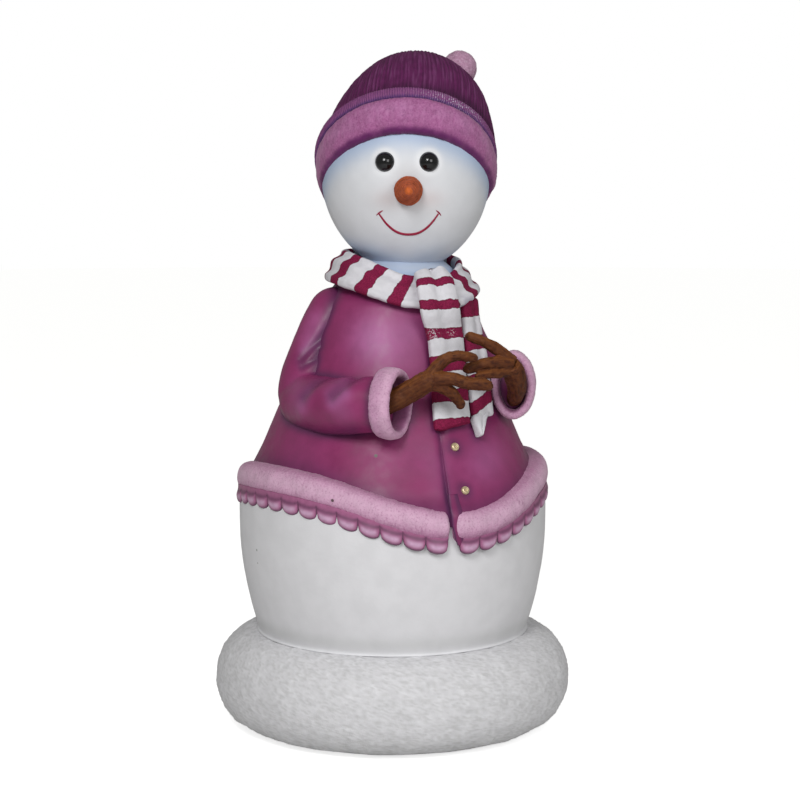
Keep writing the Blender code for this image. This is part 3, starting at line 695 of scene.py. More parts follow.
HEM_FLEECE = FleecePaint("hem_fleece", (0.56, 0.29, 0.45), (0.27, 0.06, 0.18), (0.72, 0.47, 0.62),
                         0.80, 0.07, 0.030, 0.0008, 0.003, 0.0,
                         (Speck((-0.3255, -0.2654, 0.663), 0.005, (0.10, 0.06, 0.07)),))
CUFF_FLEECE = FleecePaint("cuff_fleece", (0.54, 0.28, 0.44), (0.26, 0.07, 0.18), (0.68, 0.42, 0.57),
                          0.80, 0.07, 0.030, 0.0008)
BRIM_FLEECE = FleecePaint("brim_fleece", (0.34, 0.105, 0.255), (0.12, 0.018, 0.105), (0.48, 0.20, 0.39),
                          0.80, 0.10, 0.022, 0.0006, shine=0.15)
POMPOM_FLEECE = FleecePaint("pompom_fleece", (0.47, 0.25, 0.38), (0.28, 0.15, 0.23), (0.62, 0.43, 0.57),
                            0.85, 0.08, 0.015, 0.0010)
SCALLOP_PINK = MistedPaint("scallop_paint", (0.38, 0.12, 0.25), (0.10, 0.03, 0.08), (0.62, 0.38, 0.56),
                           0.50, 0.08, 0.012, 0.0002, 0.003, 0.2)
TWIG_BARK = BarkPaint("twig_bark", (0.125, 0.034, 0.010), (0.050, 0.013, 0.006), (0.22, 0.078, 0.020),
                      0.62, 0.10, 0.012, 0.0003, 0.0020, shine=0.2)
CROWN_KNIT = StreakPaint("crown_knit", (0.115, 0.016, 0.085), (0.045, 0.010, 0.038), (0.21, 0.065, 0.18),
                         0.66, 0.12, 0.018, 0.0005, 0.003, shine=0.15)
BAND_KNIT = StreakPaint("band_knit", (0.20, 0.052, 0.165), (0.085, 0.035, 0.145), (0.31, 0.13, 0.28),
                        0.64, 0.12, 0.012, 0.0003, 0.002, shine=0.2)
SCARF_KNIT = KnitPaint("scarf_paint", (0.70, 0.69, 0.73), (0.30, 0.28, 0.40), (0.84, 0.83, 0.86),
                       0.72, 0.05, 0.020, 0.0009, shine=0.12)
CARROT = MistedPaint("carrot_paint", (0.40, 0.090, 0.042), (0.15, 0.035, 0.02), (0.60, 0.13, 0.03),
                     0.62, 0.16, 0.006, 0.0005, 0.0030, shine=0.2)
SMILE_CRIMSON = PlainGloss("smile_paint", (0.34, 0.006, 0.045), 0.50)
EYE_BLACK = PlainGloss("eye_gloss_paint", (0.006, 0.006, 0.007), 0.10)
BUTTON_BRASS = PlainGloss("aged_brass_paint", (0.74, 0.60, 0.38), 0.32, 0.55)


def deliver(piece: Piece, paint: MistedPaint | PlainGloss, slot: Slot, *nodes: str) -> Piece:
    """Hands a finished piece over to the figure.

    Args:
        piece: the finished piece.
        paint: what it is painted with.
        slot: the finish slot that it belongs to.
        nodes: the solid parts that it stands for.

    Returns:
        The same piece.
    """
    for name in ("shade", "light", "stripe", "chip", "streak", "worn"):
        if name not in piece.data.attributes:
            mark(piece, name, np.zeros(len(piece.data.vertices)))
    piece.data.materials.clear()
    piece.data.materials.append(bpy.data.materials.get(paint.name) or paint.material())
    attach(piece, FIGURE)
    if nodes:
        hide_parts(*nodes)
    LOG.info("%s: %d faces, %s", piece.name, len(piece.data.polygons), slot.value)
    return piece


# ------------------------------------------------------------------ snow

@dataclass
class SnowBase:
    """The fat, rough-cast base."""

    foot_radius: float = 0.340
    radius: float = 0.481
    widest: float = 0.130
    top: float = 0.255
    waist: float = 0.362
    roughness: float = 0.0017     # height of the rough-cast, metres
    foot_wave: float = 0.007

    def outline(self) -> Array:
        """Radius and height from the top's middle to the underside's middle."""
        flat = [(r, self.top) for r in np.linspace(0.05, self.waist, 8, endpoint=False)]
        upper = np.linspace(math.pi / 2, 0.0, 44, endpoint=False)
        lower = np.linspace(0.0, math.pi / 2, 54)
        rise = self.top - self.widest
        flat += [(self.waist + (self.radius - self.waist) * math.cos(a), self.widest + rise * math.sin(a))
                 for a in upper]
        flat += [(self.foot_radius + (self.radius - self.foot_radius) * max(math.cos(a), 0.0) ** 0.8,
                  self.widest * (1.0 - math.sin(a) ** 0.9)) for a in lower]
        flat += [(r, 0.0) for r in np.linspace(self.foot_radius, 0.04, 6)[1:]]
        return np.array(flat)

    def build(self) -> Piece:
        """Makes and finishes the base."""
        piece = lathe("rough_snow_base", self.outline(), 330)
        points = places(piece)
        shown = smooth_step(np.hypot(points[:, 0], points[:, 1]), self.foot_radius * 0.9, self.waist)
        clear = smooth_step(points[:, 2], 0.001, 0.02)
        cast = np.abs(wander(points, 0.011, 1.0, 3)) - 0.3
        lumps = wander(points, 0.045, 2.0, 2)
        puff(piece, shown * (self.roughness * 1.5 * cast * clear + 0.0022 * lumps * clear))
        points = places(piece)
        reach = np.hypot(points[:, 0], points[:, 1])
        wave = self.foot_wave * wander(points * (1, 1, 0), 0.085, 3.0, 2) * bell(points[:, 2], 0.0, 0.055)
        points[:, :2] *= (1.0 + wave * shown / np.maximum(reach, 0.1))[:, None]
        points[:, 2] = np.maximum(points[:, 2], 0.0)
        move_to(piece, points)
        # painted shade in the rough-cast's pits and near the floor, painted highlights on its bumps
        mark(piece, "shade", 0.35 * smooth_step(-cast, 0.05, 0.30) + 0.45 * bell(points[:, 2], 0.0, 0.05))
        mark(piece, "light", 0.5 * smooth_step(cast, 0.05, 0.5))
        return deliver(piece, ROUGH_SNOW, Slot.SNOW, "snow_base")


@dataclass
class Snowball:
    """The smooth lower snowball that stands on the base and carries the coat."""

    radius: float = 0.415
    widest: float = 0.578
    waist: float = 0.362
    foot: float = 0.2553
    top: float = 0.655
    shoulder: float = 0.612       # under the coat it draws in above this height
    shoulder_drop: float = 0.016
    fillet: float = 0.007         # bead of filler along the joint with the base

    def radius_at(self, z: Array | float) -> Array:
        """Radius at a height."""
        reach = np.abs((self.widest - z) / (self.widest - 0.255))
        drawn = np.maximum(0.0, z - self.shoulder) / (self.top - self.shoulder)
        return self.radius - (self.radius - self.waist) * reach ** 2.17 - self.shoulder_drop * drawn ** 2

    def build(self) -> Piece:
        """Makes and finishes the snowball."""
        z = np.concatenate([np.linspace(self.top, self.foot + 0.02, 84),
                            np.linspace(self.foot + 0.018, self.foot, 12)])
        bead = self.fillet * np.exp(-(z - self.foot) / 0.004)
        sides = np.stack([self.radius_at(z) + bead, z], axis=1)
        outline = np.vstack([[(0.03, self.top), (0.2, self.top)], sides,
                             [(0.2, self.foot), (0.03, self.foot)]])
        piece = lathe("smooth_snowball", outline, 240)
        points = places(piece)
        side = smooth_step(np.hypot(points[:, 0], points[:, 1]), 0.3, 0.35)
        puff(piece, side * (0.0010 * wander(points, 0.10, 4.0, 2) + 0.00025 * wander(points, 0.012, 5.0, 2)))
        # a painted highlight along the filler bead at the foot and a painted shadow just above it
        mark(piece, "light", 0.9 * bell(points[:, 2], self.foot, 0.008))
        mark(piece, "shade", 0.35 * bell(points[:, 2], self.foot + 0.03, 0.02))
        return deliver(piece, SMOOTH_SNOW, Slot.SNOW, "snow_body")


# ------------------------------------------------------------------ coat

@dataclass
class Hem:
    """Where the coat's hem runs, and its fleece roll and scalloped trim."""

    level: float = 0.694          # centre of the roll where it is highest, at the sides
    dip: float = 0.100
    dips: tuple[tuple[float, float], ...] = ((-5.0, 41.0), (180.0, 55.0))
    radius: float = 0.3825
    flare: float = 0.35
    hip: float = 0.662
    half_height: float = 0.0425
    half_depth: float = 0.0375
    left_end: float = -9.9       # azimuths of the roll's two ends, at the coat's opening
    right_end: float = -8.7
    scallops: int = 46
    scallop_tip: float = 0.0705   # from the roll's centre down to a scallop's tip
    scallop_cusp: float = 0.0485
    scallop_radius: float = 0.4155
    scallop_flare: float = 0.25

    def height(self, azimuth: Array | float) -> Array:
        """Height of the roll's centre."""
        z = self.level + 0.0 * np.asarray(azimuth, float)
        for low, width in self.dips:
            z = z - self.dip * bell((azimuth - low + 180.0) % 360.0 - 180.0, 0.0, width)
        return z

    def flared(self, radius: float, flare: float, azimuth: Array | float) -> Array:
        """A radius that grows wherever the hem hangs below the hip."""
        return radius + flare * np.maximum(0.0, self.hip - self.height(azimuth))

    def roll(self) -> Piece:
        """The fleece roll, with brushed tufts and two blunt ends."""
        rows, columns, cap = 900, 34, 0.026
        azimuth = np.linspace(self.right_end, 360.0 + self.left_end, rows)
        centre = self.flared(self.radius, self.flare, azimuth)
        along = np.radians(azimuth - azimuth[0]) * centre
        from_end = np.minimum(along, along[-1] - along)
        share = (1.0 - np.clip(1.0 - from_end / cap, 0.0, 1.0) ** 3.0) ** (1 / 3.0)
        share = np.maximum(share, 0.05)[:, None]
        angle = np.linspace(math.pi, 3 * math.pi, columns, endpoint=False)[None, :]
        cosine, sine = rounded(angle, 0.92)
        out = self.half_depth * share * cosine
        up = self.half_height * share * sine
        piece = skin("fleece_hem", around_axis(azimuth[:, None], centre[:, None] + out,
                                               self.height(azimuth)[:, None] + up))
        body = rows * columns
        unrolled = np.stack([np.repeat(along, columns), np.tile(angle[0] * 0.038, rows), np.zeros(body)],
                            axis=1)
        tufts = wander(unrolled, (0.0045, 0.016, 1.0), 6.0, 3)
        lumps = wander(unrolled, (0.040, 0.030, 1.0), 7.0, 2)
        amount = np.zeros(len(piece.data.vertices))
        amount[:body] = (0.0009 * tufts + 0.0016 * lumps) * np.repeat(share[:, 0], columns)
        puff(piece, amount)
        # painted shade on the roll's underside and along its top against the coat, painted highlights on its
        # upper front and raised tufts; the scrapes are marks
        under = np.zeros(len(amount))
        under[:body] = np.tile(smooth_step(-np.sin(angle[0]), 0.10, 0.95), rows)
        over = np.zeros(len(amount))
        over[:body] = np.tile(smooth_step(np.sin(angle[0]), 0.70, 1.0), rows)
        lit = np.zeros(len(amount))
        lit[:body] = np.tile(bell(np.sin(angle[0]), 0.25, 0.45), rows) + 0.25 * tufts
        points = places(piece)
        scrape = layered(points, (
            Stroke((tuple(around_axis(17.6, 0.432, 0.652)), tuple(around_axis(19.4, 0.432, 0.641))),
                   0.0022, 0.9),
            Stroke((tuple(around_axis(21.2, 0.432, 0.637)), tuple(around_axis(22.8, 0.430, 0.626))),
                   0.0020, 0.7),
            Stroke((tuple(around_axis(20.4, 0.430, 0.622)), tuple(around_axis(21.6, 0.430, 0.613))),
                   0.0018, 0.5)))
        mark(piece, "shade", np.clip(0.85 * under + 0.35 * over + 0.8 * scrape, 0.0, 1.0))
        mark(piece, "light", np.clip(0.7 * lit, 0.0, 1.0))
        return deliver(piece, HEM_FLEECE, Slot.FLEECE, "hem_roll")

    def trim(self) -> Piece:
        """The row of puffy scallops under the roll."""
        per_lobe, outside, inside = 16, 16, 4
        start, end = self.right_end + 1.9, 360.0 + self.left_end - 0.9
        steps = self.scallops * per_lobe + 1
        azimuth = np.linspace(start, end, steps)[:, None]
        share = (np.linspace(0.0, self.scallops, steps) % 1.0)[:, None]
        lobe = np.sqrt(np.clip(1.0 - (2.0 * share - 1.0) ** 2, 0.0, 1.0))
        lobe_soft = lobe ** 0.8
        level = self.height(azimuth)
        tip = level - self.scallop_cusp - (self.scallop_tip - self.scallop_cusp) * lobe_soft
        top = level - self.half_height + 0.024
        down = np.concatenate([np.linspace(0.0, 1.0, outside),
                               np.linspace(1.0, 0.0, inside + 2)[1:-1]])[None, :]
        front = np.concatenate([np.ones(outside), np.zeros(inside)])[None, :]
        round_over = np.sqrt(np.clip(1.0 - np.clip((down - 0.45) / 0.55, 0.0, 1.0) ** 2.4, 0.0, 1.0))
        parted = smooth_step(down, 0.15, 0.60)
        swell = 0.0110 * round_over * (1.0 - 0.75 * parted * (1.0 - lobe ** 0.9)) * (0.55 + 0.45 * parted)
        radius = self.flared(self.scallop_radius, self.scallop_flare, azimuth) - 0.0035
        grid = around_axis(azimuth, radius + front * swell, top + (tip - top) * down)
        piece = skin("scalloped_trim", grid)
        count = steps * (outside + inside)
        lobes = np.broadcast_to(lobe, (steps, outside + inside)).ravel()
        downs = np.broadcast_to(down, (steps, outside + inside)).ravel()
        outer = np.broadcast_to(front, (steps, outside + inside)).ravel()
        # painted shade on the hidden inside, in the notches between lobes, along their lower rims and in a
        # band under the roll; painted highlights on each lobe's lower front
        shade = np.ones(len(piece.data.vertices))
        light = np.zeros(len(shade))
        shade[:count] = np.clip(1.0 - outer + smooth_step(-lobes, -0.50, -0.08)
                                * smooth_step(downs, 0.30, 0.65) + 0.9 * smooth_step(downs, 0.80, 0.99)
                                + 0.7 * bell(downs, 0.36, 0.12), 0.0, 1.0)
        light[:count] = outer * bell(downs, 0.66, 0.16) * smooth_step(lobes, 0.50, 0.95)
        mark(piece, "shade", shade)
        mark(piece, "light", light)
        return deliver(piece, SCALLOP_PINK, Slot.SCALLOP, "scallop_edging")


@dataclass
class Coat:
    """The bell of the coat, whose left front laps over the right one, with its placket and buttons."""

    hem: Hem
    ball: Snowball
    top: float = 1.190
    lip: float = 0.650
    profile: tuple[tuple[float, float], ...] = (
        (1.190, 0.150), (1.150, 0.193), (1.090, 0.215), (0.900, 0.289), (0.765, 0.347),
        (0.715, 0.373), (0.688, 0.388), (0.662, 0.400), (0.630, 0.4245), (0.585, 0.429))
    seam_route: tuple[tuple[float, float], ...] = (
        (1.10, -6.0), (0.83, -7.0), (0.76, -8.2), (0.69, -8.9), (0.64, -9.2), (0.60, -9.2))
    lap: float = 0.0065           # how far the lapping front stands proud at its edge
    groove: float = 0.0045
    button_radius: float = 0.0105
    button_azimuth: float = -2.0
    button_heights: dict[str, float] = field(
        default_factory=lambda: {"button_upper": 0.787, "button_lower": 0.682})

    def radius_at(self, z: Array | float) -> Array:
        """Radius of the coat at a height, eased between the pattern's points."""
        heights, radii = np.array(self.profile[::-1]).T
        return sum(np.interp(np.asarray(z) + dz, heights, radii)
                   for dz in (-0.012, -0.006, 0.0, 0.006, 0.012)) / 5

    def seam(self, z: Array | float) -> Array:
        """Azimuth of the opening at a height."""
        heights, azimuths = np.array(self.seam_route[::-1]).T
        return sum(np.interp(np.asarray(z) + dz, heights, azimuths) for dz in (-0.03, 0.0, 0.03)) / 3

    def shell(self) -> Array:
        """Points of the coat, from its neck down the outside and back up over the snowball."""
        fine = np.array((0.0, 0.05, 0.12, 0.22, 0.36, 0.55, 0.8, 1.1, 1.5, 2.0, 2.6, 3.3, 4.1))
        after = np.concatenate([fine, np.linspace(5.0, 355.0, 301), 360.0 - fine[:0:-1]])[None, :]
        share = np.linspace(0.0, 1.0, 125)[:, None]
        rough_edge = np.minimum(self.hem.height(after - 9.0), self.lip)
        z = self.top + (rough_edge - self.top) * share
        azimuth = self.seam(z) + after
        before = 360.0 - after
        full_lap = smooth_step(-z, -0.84, -0.70)
        raised = self.lap * full_lap * smooth_step(after, 0.0, 0.30) * np.exp(-after / 13.0)
        dent = self.groove * smooth_step(-z, -1.12, -1.0)
        dent = dent * (np.exp(-(before / 1.5) ** 2) + (1.0 - full_lap) * np.exp(-(after / 1.5) ** 2))
        panel = (0.0025 * (bell(before, 4.0, 2.6) + bell(after, 4.0, 2.6) * (1.0 - full_lap))
                 * smooth_step(-z, -1.0, -0.8))
        outside = around_axis(azimuth, self.radius_at(z) + raised - dent + panel, z)
        edge = z[-1:]
        under = [around_axis(azimuth[-1:], self.ball.radius_at(edge) + 0.0015, edge)]
        for level in (0.640, self.ball.top + 0.0008):
            inner = np.maximum(edge, level)
            under.append(around_axis(azimuth[-1:], self.ball.radius_at(np.minimum(inner, self.ball.top))
                                     + 0.0015, inner))
        return np.vstack([outside, *under])

    def build(self) -> Piece:
        """Makes the coat's skin; paint() finishes it once its neighbours are there."""
        piece = skin("plum_coat", self.shell())
        points = places(piece)
        side = smooth_step(points[:, 2], 0.56, 0.60)
        puff(piece, side * (0.0016 * wander(points, 0.14, 8.0, 2) + 0.0002 * wander(points, 0.016, 9.0, 2)))
        return piece

    def paint(self, piece: Piece, dark_neighbours: Sequence[Piece], sleeves: Sequence[Piece]) -> Piece:
        """Paints the coat's shade and highlights: dusky violet painted shade around whatever lies on it, and
        soft painted highlights.

        Args:
            piece: the coat's skin.
            dark_neighbours: pieces that get a wide edge of dusky painted shade.
            sleeves: pieces that get a narrow one.

        Returns:
            The finished coat.
        """
        points = places(piece)
        z = points[:, 2]
        azimuth = np.degrees(np.arctan2(points[:, 0], -points[:, 1]))
        off_seam = azimuth - self.seam(z)
        # painted shadow along the opening, beside the lapping front's edge
        seam = (bell(off_seam, -0.6, 1.35) * smooth_step(-z, -1.05, -0.95)
                * (0.55 + 0.4 * smooth_step(-z, -0.75, -0.66)))
        # painted dusky shade beside the scarf, cuffs and buttons, narrower beside the sleeves, and above the
        # hem roll
        dusky = 0.65 * closeness(points, dark_neighbours, 0.015)
        narrow = 0.80 * closeness(points, sleeves, 0.014)
        low = 0.55 * bell(z - self.hem.height(azimuth), 0.035, 0.030)
        shade = 1.0 - (1.0 - seam) * (1.0 - dusky) * (1.0 - narrow) * (1.0 - low)
        # painted highlights on the chest and skirt
        light = layered(points, (
            Stroke(((-0.150, -0.170, 1.055),), 0.062, 0.85), Stroke(((-0.062, -0.200, 1.080),), 0.034, 0.35),
            Stroke(((-0.110, -0.210, 1.040),), 0.090, 0.45), Stroke(((-0.085, -0.325, 0.770),), 0.050, 0.15),
            Stroke(((0.075, -0.352, 0.745),), 0.060, 0.45), Stroke(((-0.190, -0.290, 0.760),), 0.070, 0.15),
            Stroke(((-0.060, -0.350, 0.740), (-0.075, -0.385, 0.690)), 0.035, 0.22),
            Stroke(((-0.330, -0.110, 0.765),), 0.070, 0.12)))
        # painted highlights on the back and sides
        around = 0.25 * bell(azimuth, 150.0, 40.0) * bell(z, 0.95, 0.14)
        around += (0.25 * bell(azimuth, -150.0, 40.0) * bell(z, 0.90, 0.14)
                   + 0.2 * bell(azimuth, 90.0, 35.0) * bell(z, 0.80, 0.10))
        mark(piece, "shade", np.clip(shade, 0.0, 1.0))
        mark(piece, "light", np.clip(light + around, 0.0, 1.0))
        return deliver(piece, COAT_PLUM, Slot.COAT, "coat_body")

    def placket(self) -> Piece:
        """The lapping front's edge, which runs down between the two ends of the fleece roll."""
        z = np.linspace(0.675, 0.549, 46)[:, None]
        left = np.interp(z, (0.549, 0.567, 0.600, 0.640, 0.675), (-7.4, -8.4, -9.4, -9.5, -9.1))
        right = np.full_like(left, -5.2)
        angle = np.linspace(0.0, math.tau, 28, endpoint=False)[None, :]
        cosine, sine = rounded(angle, 0.75)
        azimuth = (left + right) / 2 + (right - left) / 2 * cosine
        shut = np.clip((z - 0.547) / 0.010, 0.12, 1.0) ** 0.5
        radius = self.radius_at(z) + 0.0030 + 0.0045 * sine * shut
        piece = skin("coat_placket", around_axis(azimuth, radius, z))
        # painted shade over the whole edge, deepest along its left side and over its right half
        edge = np.ones(len(piece.data.vertices))
        edge[:z.size * 28] = (0.30 + 0.7 * bell(cosine, -1.0, 0.25) * np.ones_like(z)
                              + 0.5 * smooth_step(cosine, -0.2, 0.4) * np.ones_like(z)).ravel()
        mark(piece, "shade", np.clip(edge, 0.0, 1.0))
        return deliver(piece, COAT_PLUM, Slot.COAT)

    def button(self, node: str, z: float) -> Piece:
        """A small domed brass button with a dimple, leaning back with the coat."""
        step = 0.01
        lean = math.atan2(float(self.radius_at(z - step) - self.radius_at(z + step)), 2 * step)
        size = self.button_radius
        outline = np.array([(0.02, 0.0012), (0.22, 0.0014), (0.34, 0.0034), (0.50, 0.0042), (0.66, 0.0040),
                            (0.80, 0.0030),
                            (0.90, 0.0032), (0.97, 0.0024), (1.0, 0.0010), (1.0, -0.0040), (0.5, -0.0040),
                            (0.05, -0.0040)])
        smooth = curve_through(outline, 44)
        piece = lathe({"button_upper": "upper_button"}.get(node, "lower_button"), smooth * (size, 1.0), 56)
        tilt = turned_about_z(self.button_azimuth) @ np.array(Matrix.Rotation(math.pi / 2 - lean, 3, "X"))
        seat = around_axis(self.button_azimuth, float(self.radius_at(z)) + self.lap * 0.75 + 0.001, z)
        move_to(piece, places(piece) @ tilt.T + seat)
        return deliver(piece, BUTTON_BRASS, Slot.BRASS, node)


# ------------------------------------------------------------------ arms

class Side(Enum):
    """The figure's own sides."""

    RIGHT = "right"
    LEFT = "left"


@dataclass(frozen=True)
class Fold:
    """A crease pressed into a sleeve, with a rounded ridge along its lower side."""

    route: tuple[tuple[float, float, float], ...]
    width: float
    depth: float

    def dent(self, points: Array) -> Array:
        """How far the crease and its ridge move each point, metres."""
        away = Stroke(self.route, 1.0).distance(points)
        lower = tuple((x, y, z - 1.7 * self.width) for x, y, z in self.route)
        ridge = Stroke(lower, 1.0).distance(points)
        return (0.55 * self.depth * bell(ridge, 0.0, self.width)
                - self.depth * bell(away, 0.0, self.width * 0.62))


@dataclass
class Arm:
    """A sleeve with its fleece cuff, and the twig hand that comes out of it."""

    side: Side
    upper: tuple[tuple[float, float, float, float], ...]
    lower: tuple[tuple[float, float, float, float], ...]
    mouth: tuple[float, float, float]
    turn: float                   # degrees between the forearm's end and straight ahead
    squash: float                 # how narrow the cuff's oval is
    stretch: float                # how much taller than wide the forearm is
    stick: tuple[tuple[float, float, float, float], ...]
    fingers: tuple[tuple[tuple[float, float, float, float], ...], ...]
    folds: tuple[Fold, ...]
    # lights are strokes of painted highlight, darks strokes of painted shade
    lights: tuple[Stroke, ...]
    darks: tuple[Stroke, ...]
    cuff_radius: float = 0.090
    cuff_bore: float = 0.066
    cuff_length: float = 0.056

    @property
    def heading(self) -> Array:
        """The way the forearm's end points."""
        return around_axis(self.turn, 1.0, 0.0)

    def sleeve(self) -> Piece:
        """The sleeve, fused from its two lengths and then creased."""
        end = np.array(self.mouth) - self.heading * (self.cuff_length - 0.016)
        lower = (*self.lower, (*end, self.lower[-1][3] - 0.003))
        forearm = skin("forearm", sweep(lower, 60, 48))
        points = places(forearm)
        points[:, 2] = self.mouth[2] + (points[:, 2] - self.mouth[2]) * self.stretch
        move_to(forearm, points)
        upper = skin("upper_arm", sweep(self.upper, 60, 48))
        piece = voxel_union("plum_sleeve_" + self.side.value, (forearm, upper), 0.0045, 9)
        points = places(piece)
        dents = sum((fold.dent(points) for fold in self.folds), np.zeros(len(points)))
        puff(piece, dents + 0.0012 * wander(points, 0.06, 10.0, 2))
        return piece

    def paint_sleeve(self, piece: Piece, dark_neighbours: Sequence[Piece]) -> Piece:
        """Paints shade in the sleeve's creases and along its edges, and highlights on its ridges.

        Args:
            piece: the bare sleeve.
            dark_neighbours: pieces beside which it gets dusky painted shade.

        Returns:
            The finished sleeve.
        """
        points = places(piece)
        # painted shade in the creases, beside the coat and cuff and under the arm; painted highlights on the
        # ridges
        creases = layered(points, [Stroke(fold.route, fold.width * 0.85, 0.62) for fold in self.folds])
        edges = 0.75 * closeness(points, dark_neighbours, 0.014)
        shade = 1.0 - (1.0 - creases) * (1.0 - edges) * (1.0 - layered(points, self.darks))
        mark(piece, "shade", np.clip(shade, 0.0, 1.0))
        mark(piece, "light", layered(points, self.lights))
        return deliver(piece, COAT_PLUM, Slot.COAT, "sleeve_" + self.side.value)

    def cuff(self) -> Piece:
        """The fleece cuff, a blunt ring."""
        rows, columns = 220, 36
        middle = (self.cuff_radius + self.cuff_bore) / 2
        half = (self.cuff_radius - self.cuff_bore) / 2 * 1.06
        around = np.linspace(0.0, math.tau, rows, endpoint=False)[:, None]
        angle = np.linspace(0.0, math.tau, columns, endpoint=False)[None, :]
        cosine, sine = rounded(angle, 0.80)
        across = (middle * self.squash + half * cosine) * np.cos(around)
        depth = self.cuff_length / 2 * (1.0 - sine) * np.ones_like(around)
        grid = np.stack([across, depth, (middle + half * cosine) * np.sin(around)], axis=-1)
        piece = skin("fleece_cuff_" + self.side.value, grid @ turned_about_z(self.turn).T + self.mouth,
                     ring=True)
        tuft_at = np.stack(np.broadcast_arrays(around * middle, angle * 0.02, 0.0), axis=-1).reshape(-1, 3)
        tufts = wander(tuft_at, (0.005, 0.013, 1.0), 11.0, 3)
        puff(piece, 0.0009 * tufts + 0.0014 * wander(tuft_at, (0.035, 0.03, 1.0), 12.0, 2))
        # painted shade inside the bore and at the back against the sleeve, painted highlights along the
        # front rim and on raised tufts
        inside = np.broadcast_to(smooth_step(-cosine, 0.30, 0.95), (rows, columns)).ravel()
        back = np.broadcast_to(smooth_step(-sine, 0.75, 1.0), (rows, columns)).ravel()
        rim = np.broadcast_to(bell(sine, 0.55, 0.5) * smooth_step(cosine, -0.4, 0.5),
                              (rows, columns)).ravel()
        mark(piece, "shade", np.clip(0.95 * inside + 0.7 * back, 0.0, 1.0))
        mark(piece, "light", np.clip(0.75 * rim + 0.25 * tufts, 0.0, 1.0))
        return deliver(piece, CUFF_FLEECE, Slot.FLEECE, "cuff_" + self.side.value)

    def hand(self) -> Piece:
        """The twig hand: one forked stick with knobbly fingers and grooved bark."""
        routes = [self.stick, *(self.rounded_tip(f) for f in self.fingers)]
        bars = [skin("bar", sweep(route, 14 * len(route), 28)) for route in routes]
        piece = voxel_union("twig_hand_" + self.side.value, bars, 0.0019, 3)
        points = places(piece)
        axis, along, offset = self.along_sticks(points, routes)
        bark_at = offset / 0.0050 + axis * (along / 0.060)[:, None]
        bark = wander(bark_at, 1.0, 13.0, 3)
        knots = wander(points, 0.018, 14.0, 2)
        puff(piece, 0.0011 * bark + 0.0015 * knots)
        # painted shade in the bark's grooves and on its underside, painted highlights on its ridges and on
        # top
        upward = smooth_step(directions(piece)[:, 2], -0.1, 0.8)
        mark(piece, "shade",
             np.clip(0.60 * smooth_step(-bark, 0.05, 0.6) + 0.15 * smooth_step(-knots, 0.1, 0.5)
                                     + 0.45 * (1.0 - upward), 0.0, 1.0))
        mark(piece, "light", np.clip(0.45 * smooth_step(bark, 0.1, 0.7) + 0.40 * upward, 0.0, 1.0))
        nodes = ["arm_stick_" + self.side.value]
        nodes += [f"finger_{self.side.value}_{k + 1}" for k in range(len(self.fingers))]
        return deliver(piece, TWIG_BARK, Slot.TWIG, *nodes)

    @staticmethod
    def rounded_tip(route: tuple[tuple[float, float, float, float], ...]) -> tuple:
        """Adds a short narrowing station past a finger's end, so that its tip is blunt."""
        last, tip = np.array(route[-2]), np.array(route[-1])
        ahead = tip[:3] - last[:3]
        beyond = tip[:3] + ahead / np.linalg.norm(ahead) * tip[3] * 0.7
        return (*route, (*beyond, tip[3] * 0.45))

    @staticmethod
    def along_sticks(points: Array, routes: Sequence[Sequence[Sequence[float]]]) -> tuple[Array, Array,
                                                                                          Array]:
        """Finds each point's nearest stick.

        Args:
            points: the hand's points.
            routes: the sticks' stations.

        Returns:
            The stick's direction, the distance along it, and the offset from its centre line.
        """
        least = np.full(len(points), 9.0)
        axis, offset, along = np.zeros_like(points), np.zeros_like(points), np.zeros(len(points))
        for number, route in enumerate(routes):
            line = curve_through(route, 16)[:, :3]
            travelled = 0.3 * number
            for start, end in zip(line, line[1:]):
                step = end - start
                length = float(np.linalg.norm(step))
                share = np.clip((points - start) @ step / length ** 2, 0.0, 1.0)
                away = points - start - share[:, None] * step
                distance = np.linalg.norm(away, axis=1)
                nearer = distance < least
                least[nearer] = distance[nearer]
                axis[nearer] = step / length
                offset[nearer] = away[nearer]
                along[nearer] = travelled + share[nearer] * length
                travelled += length
        return axis, along, offset


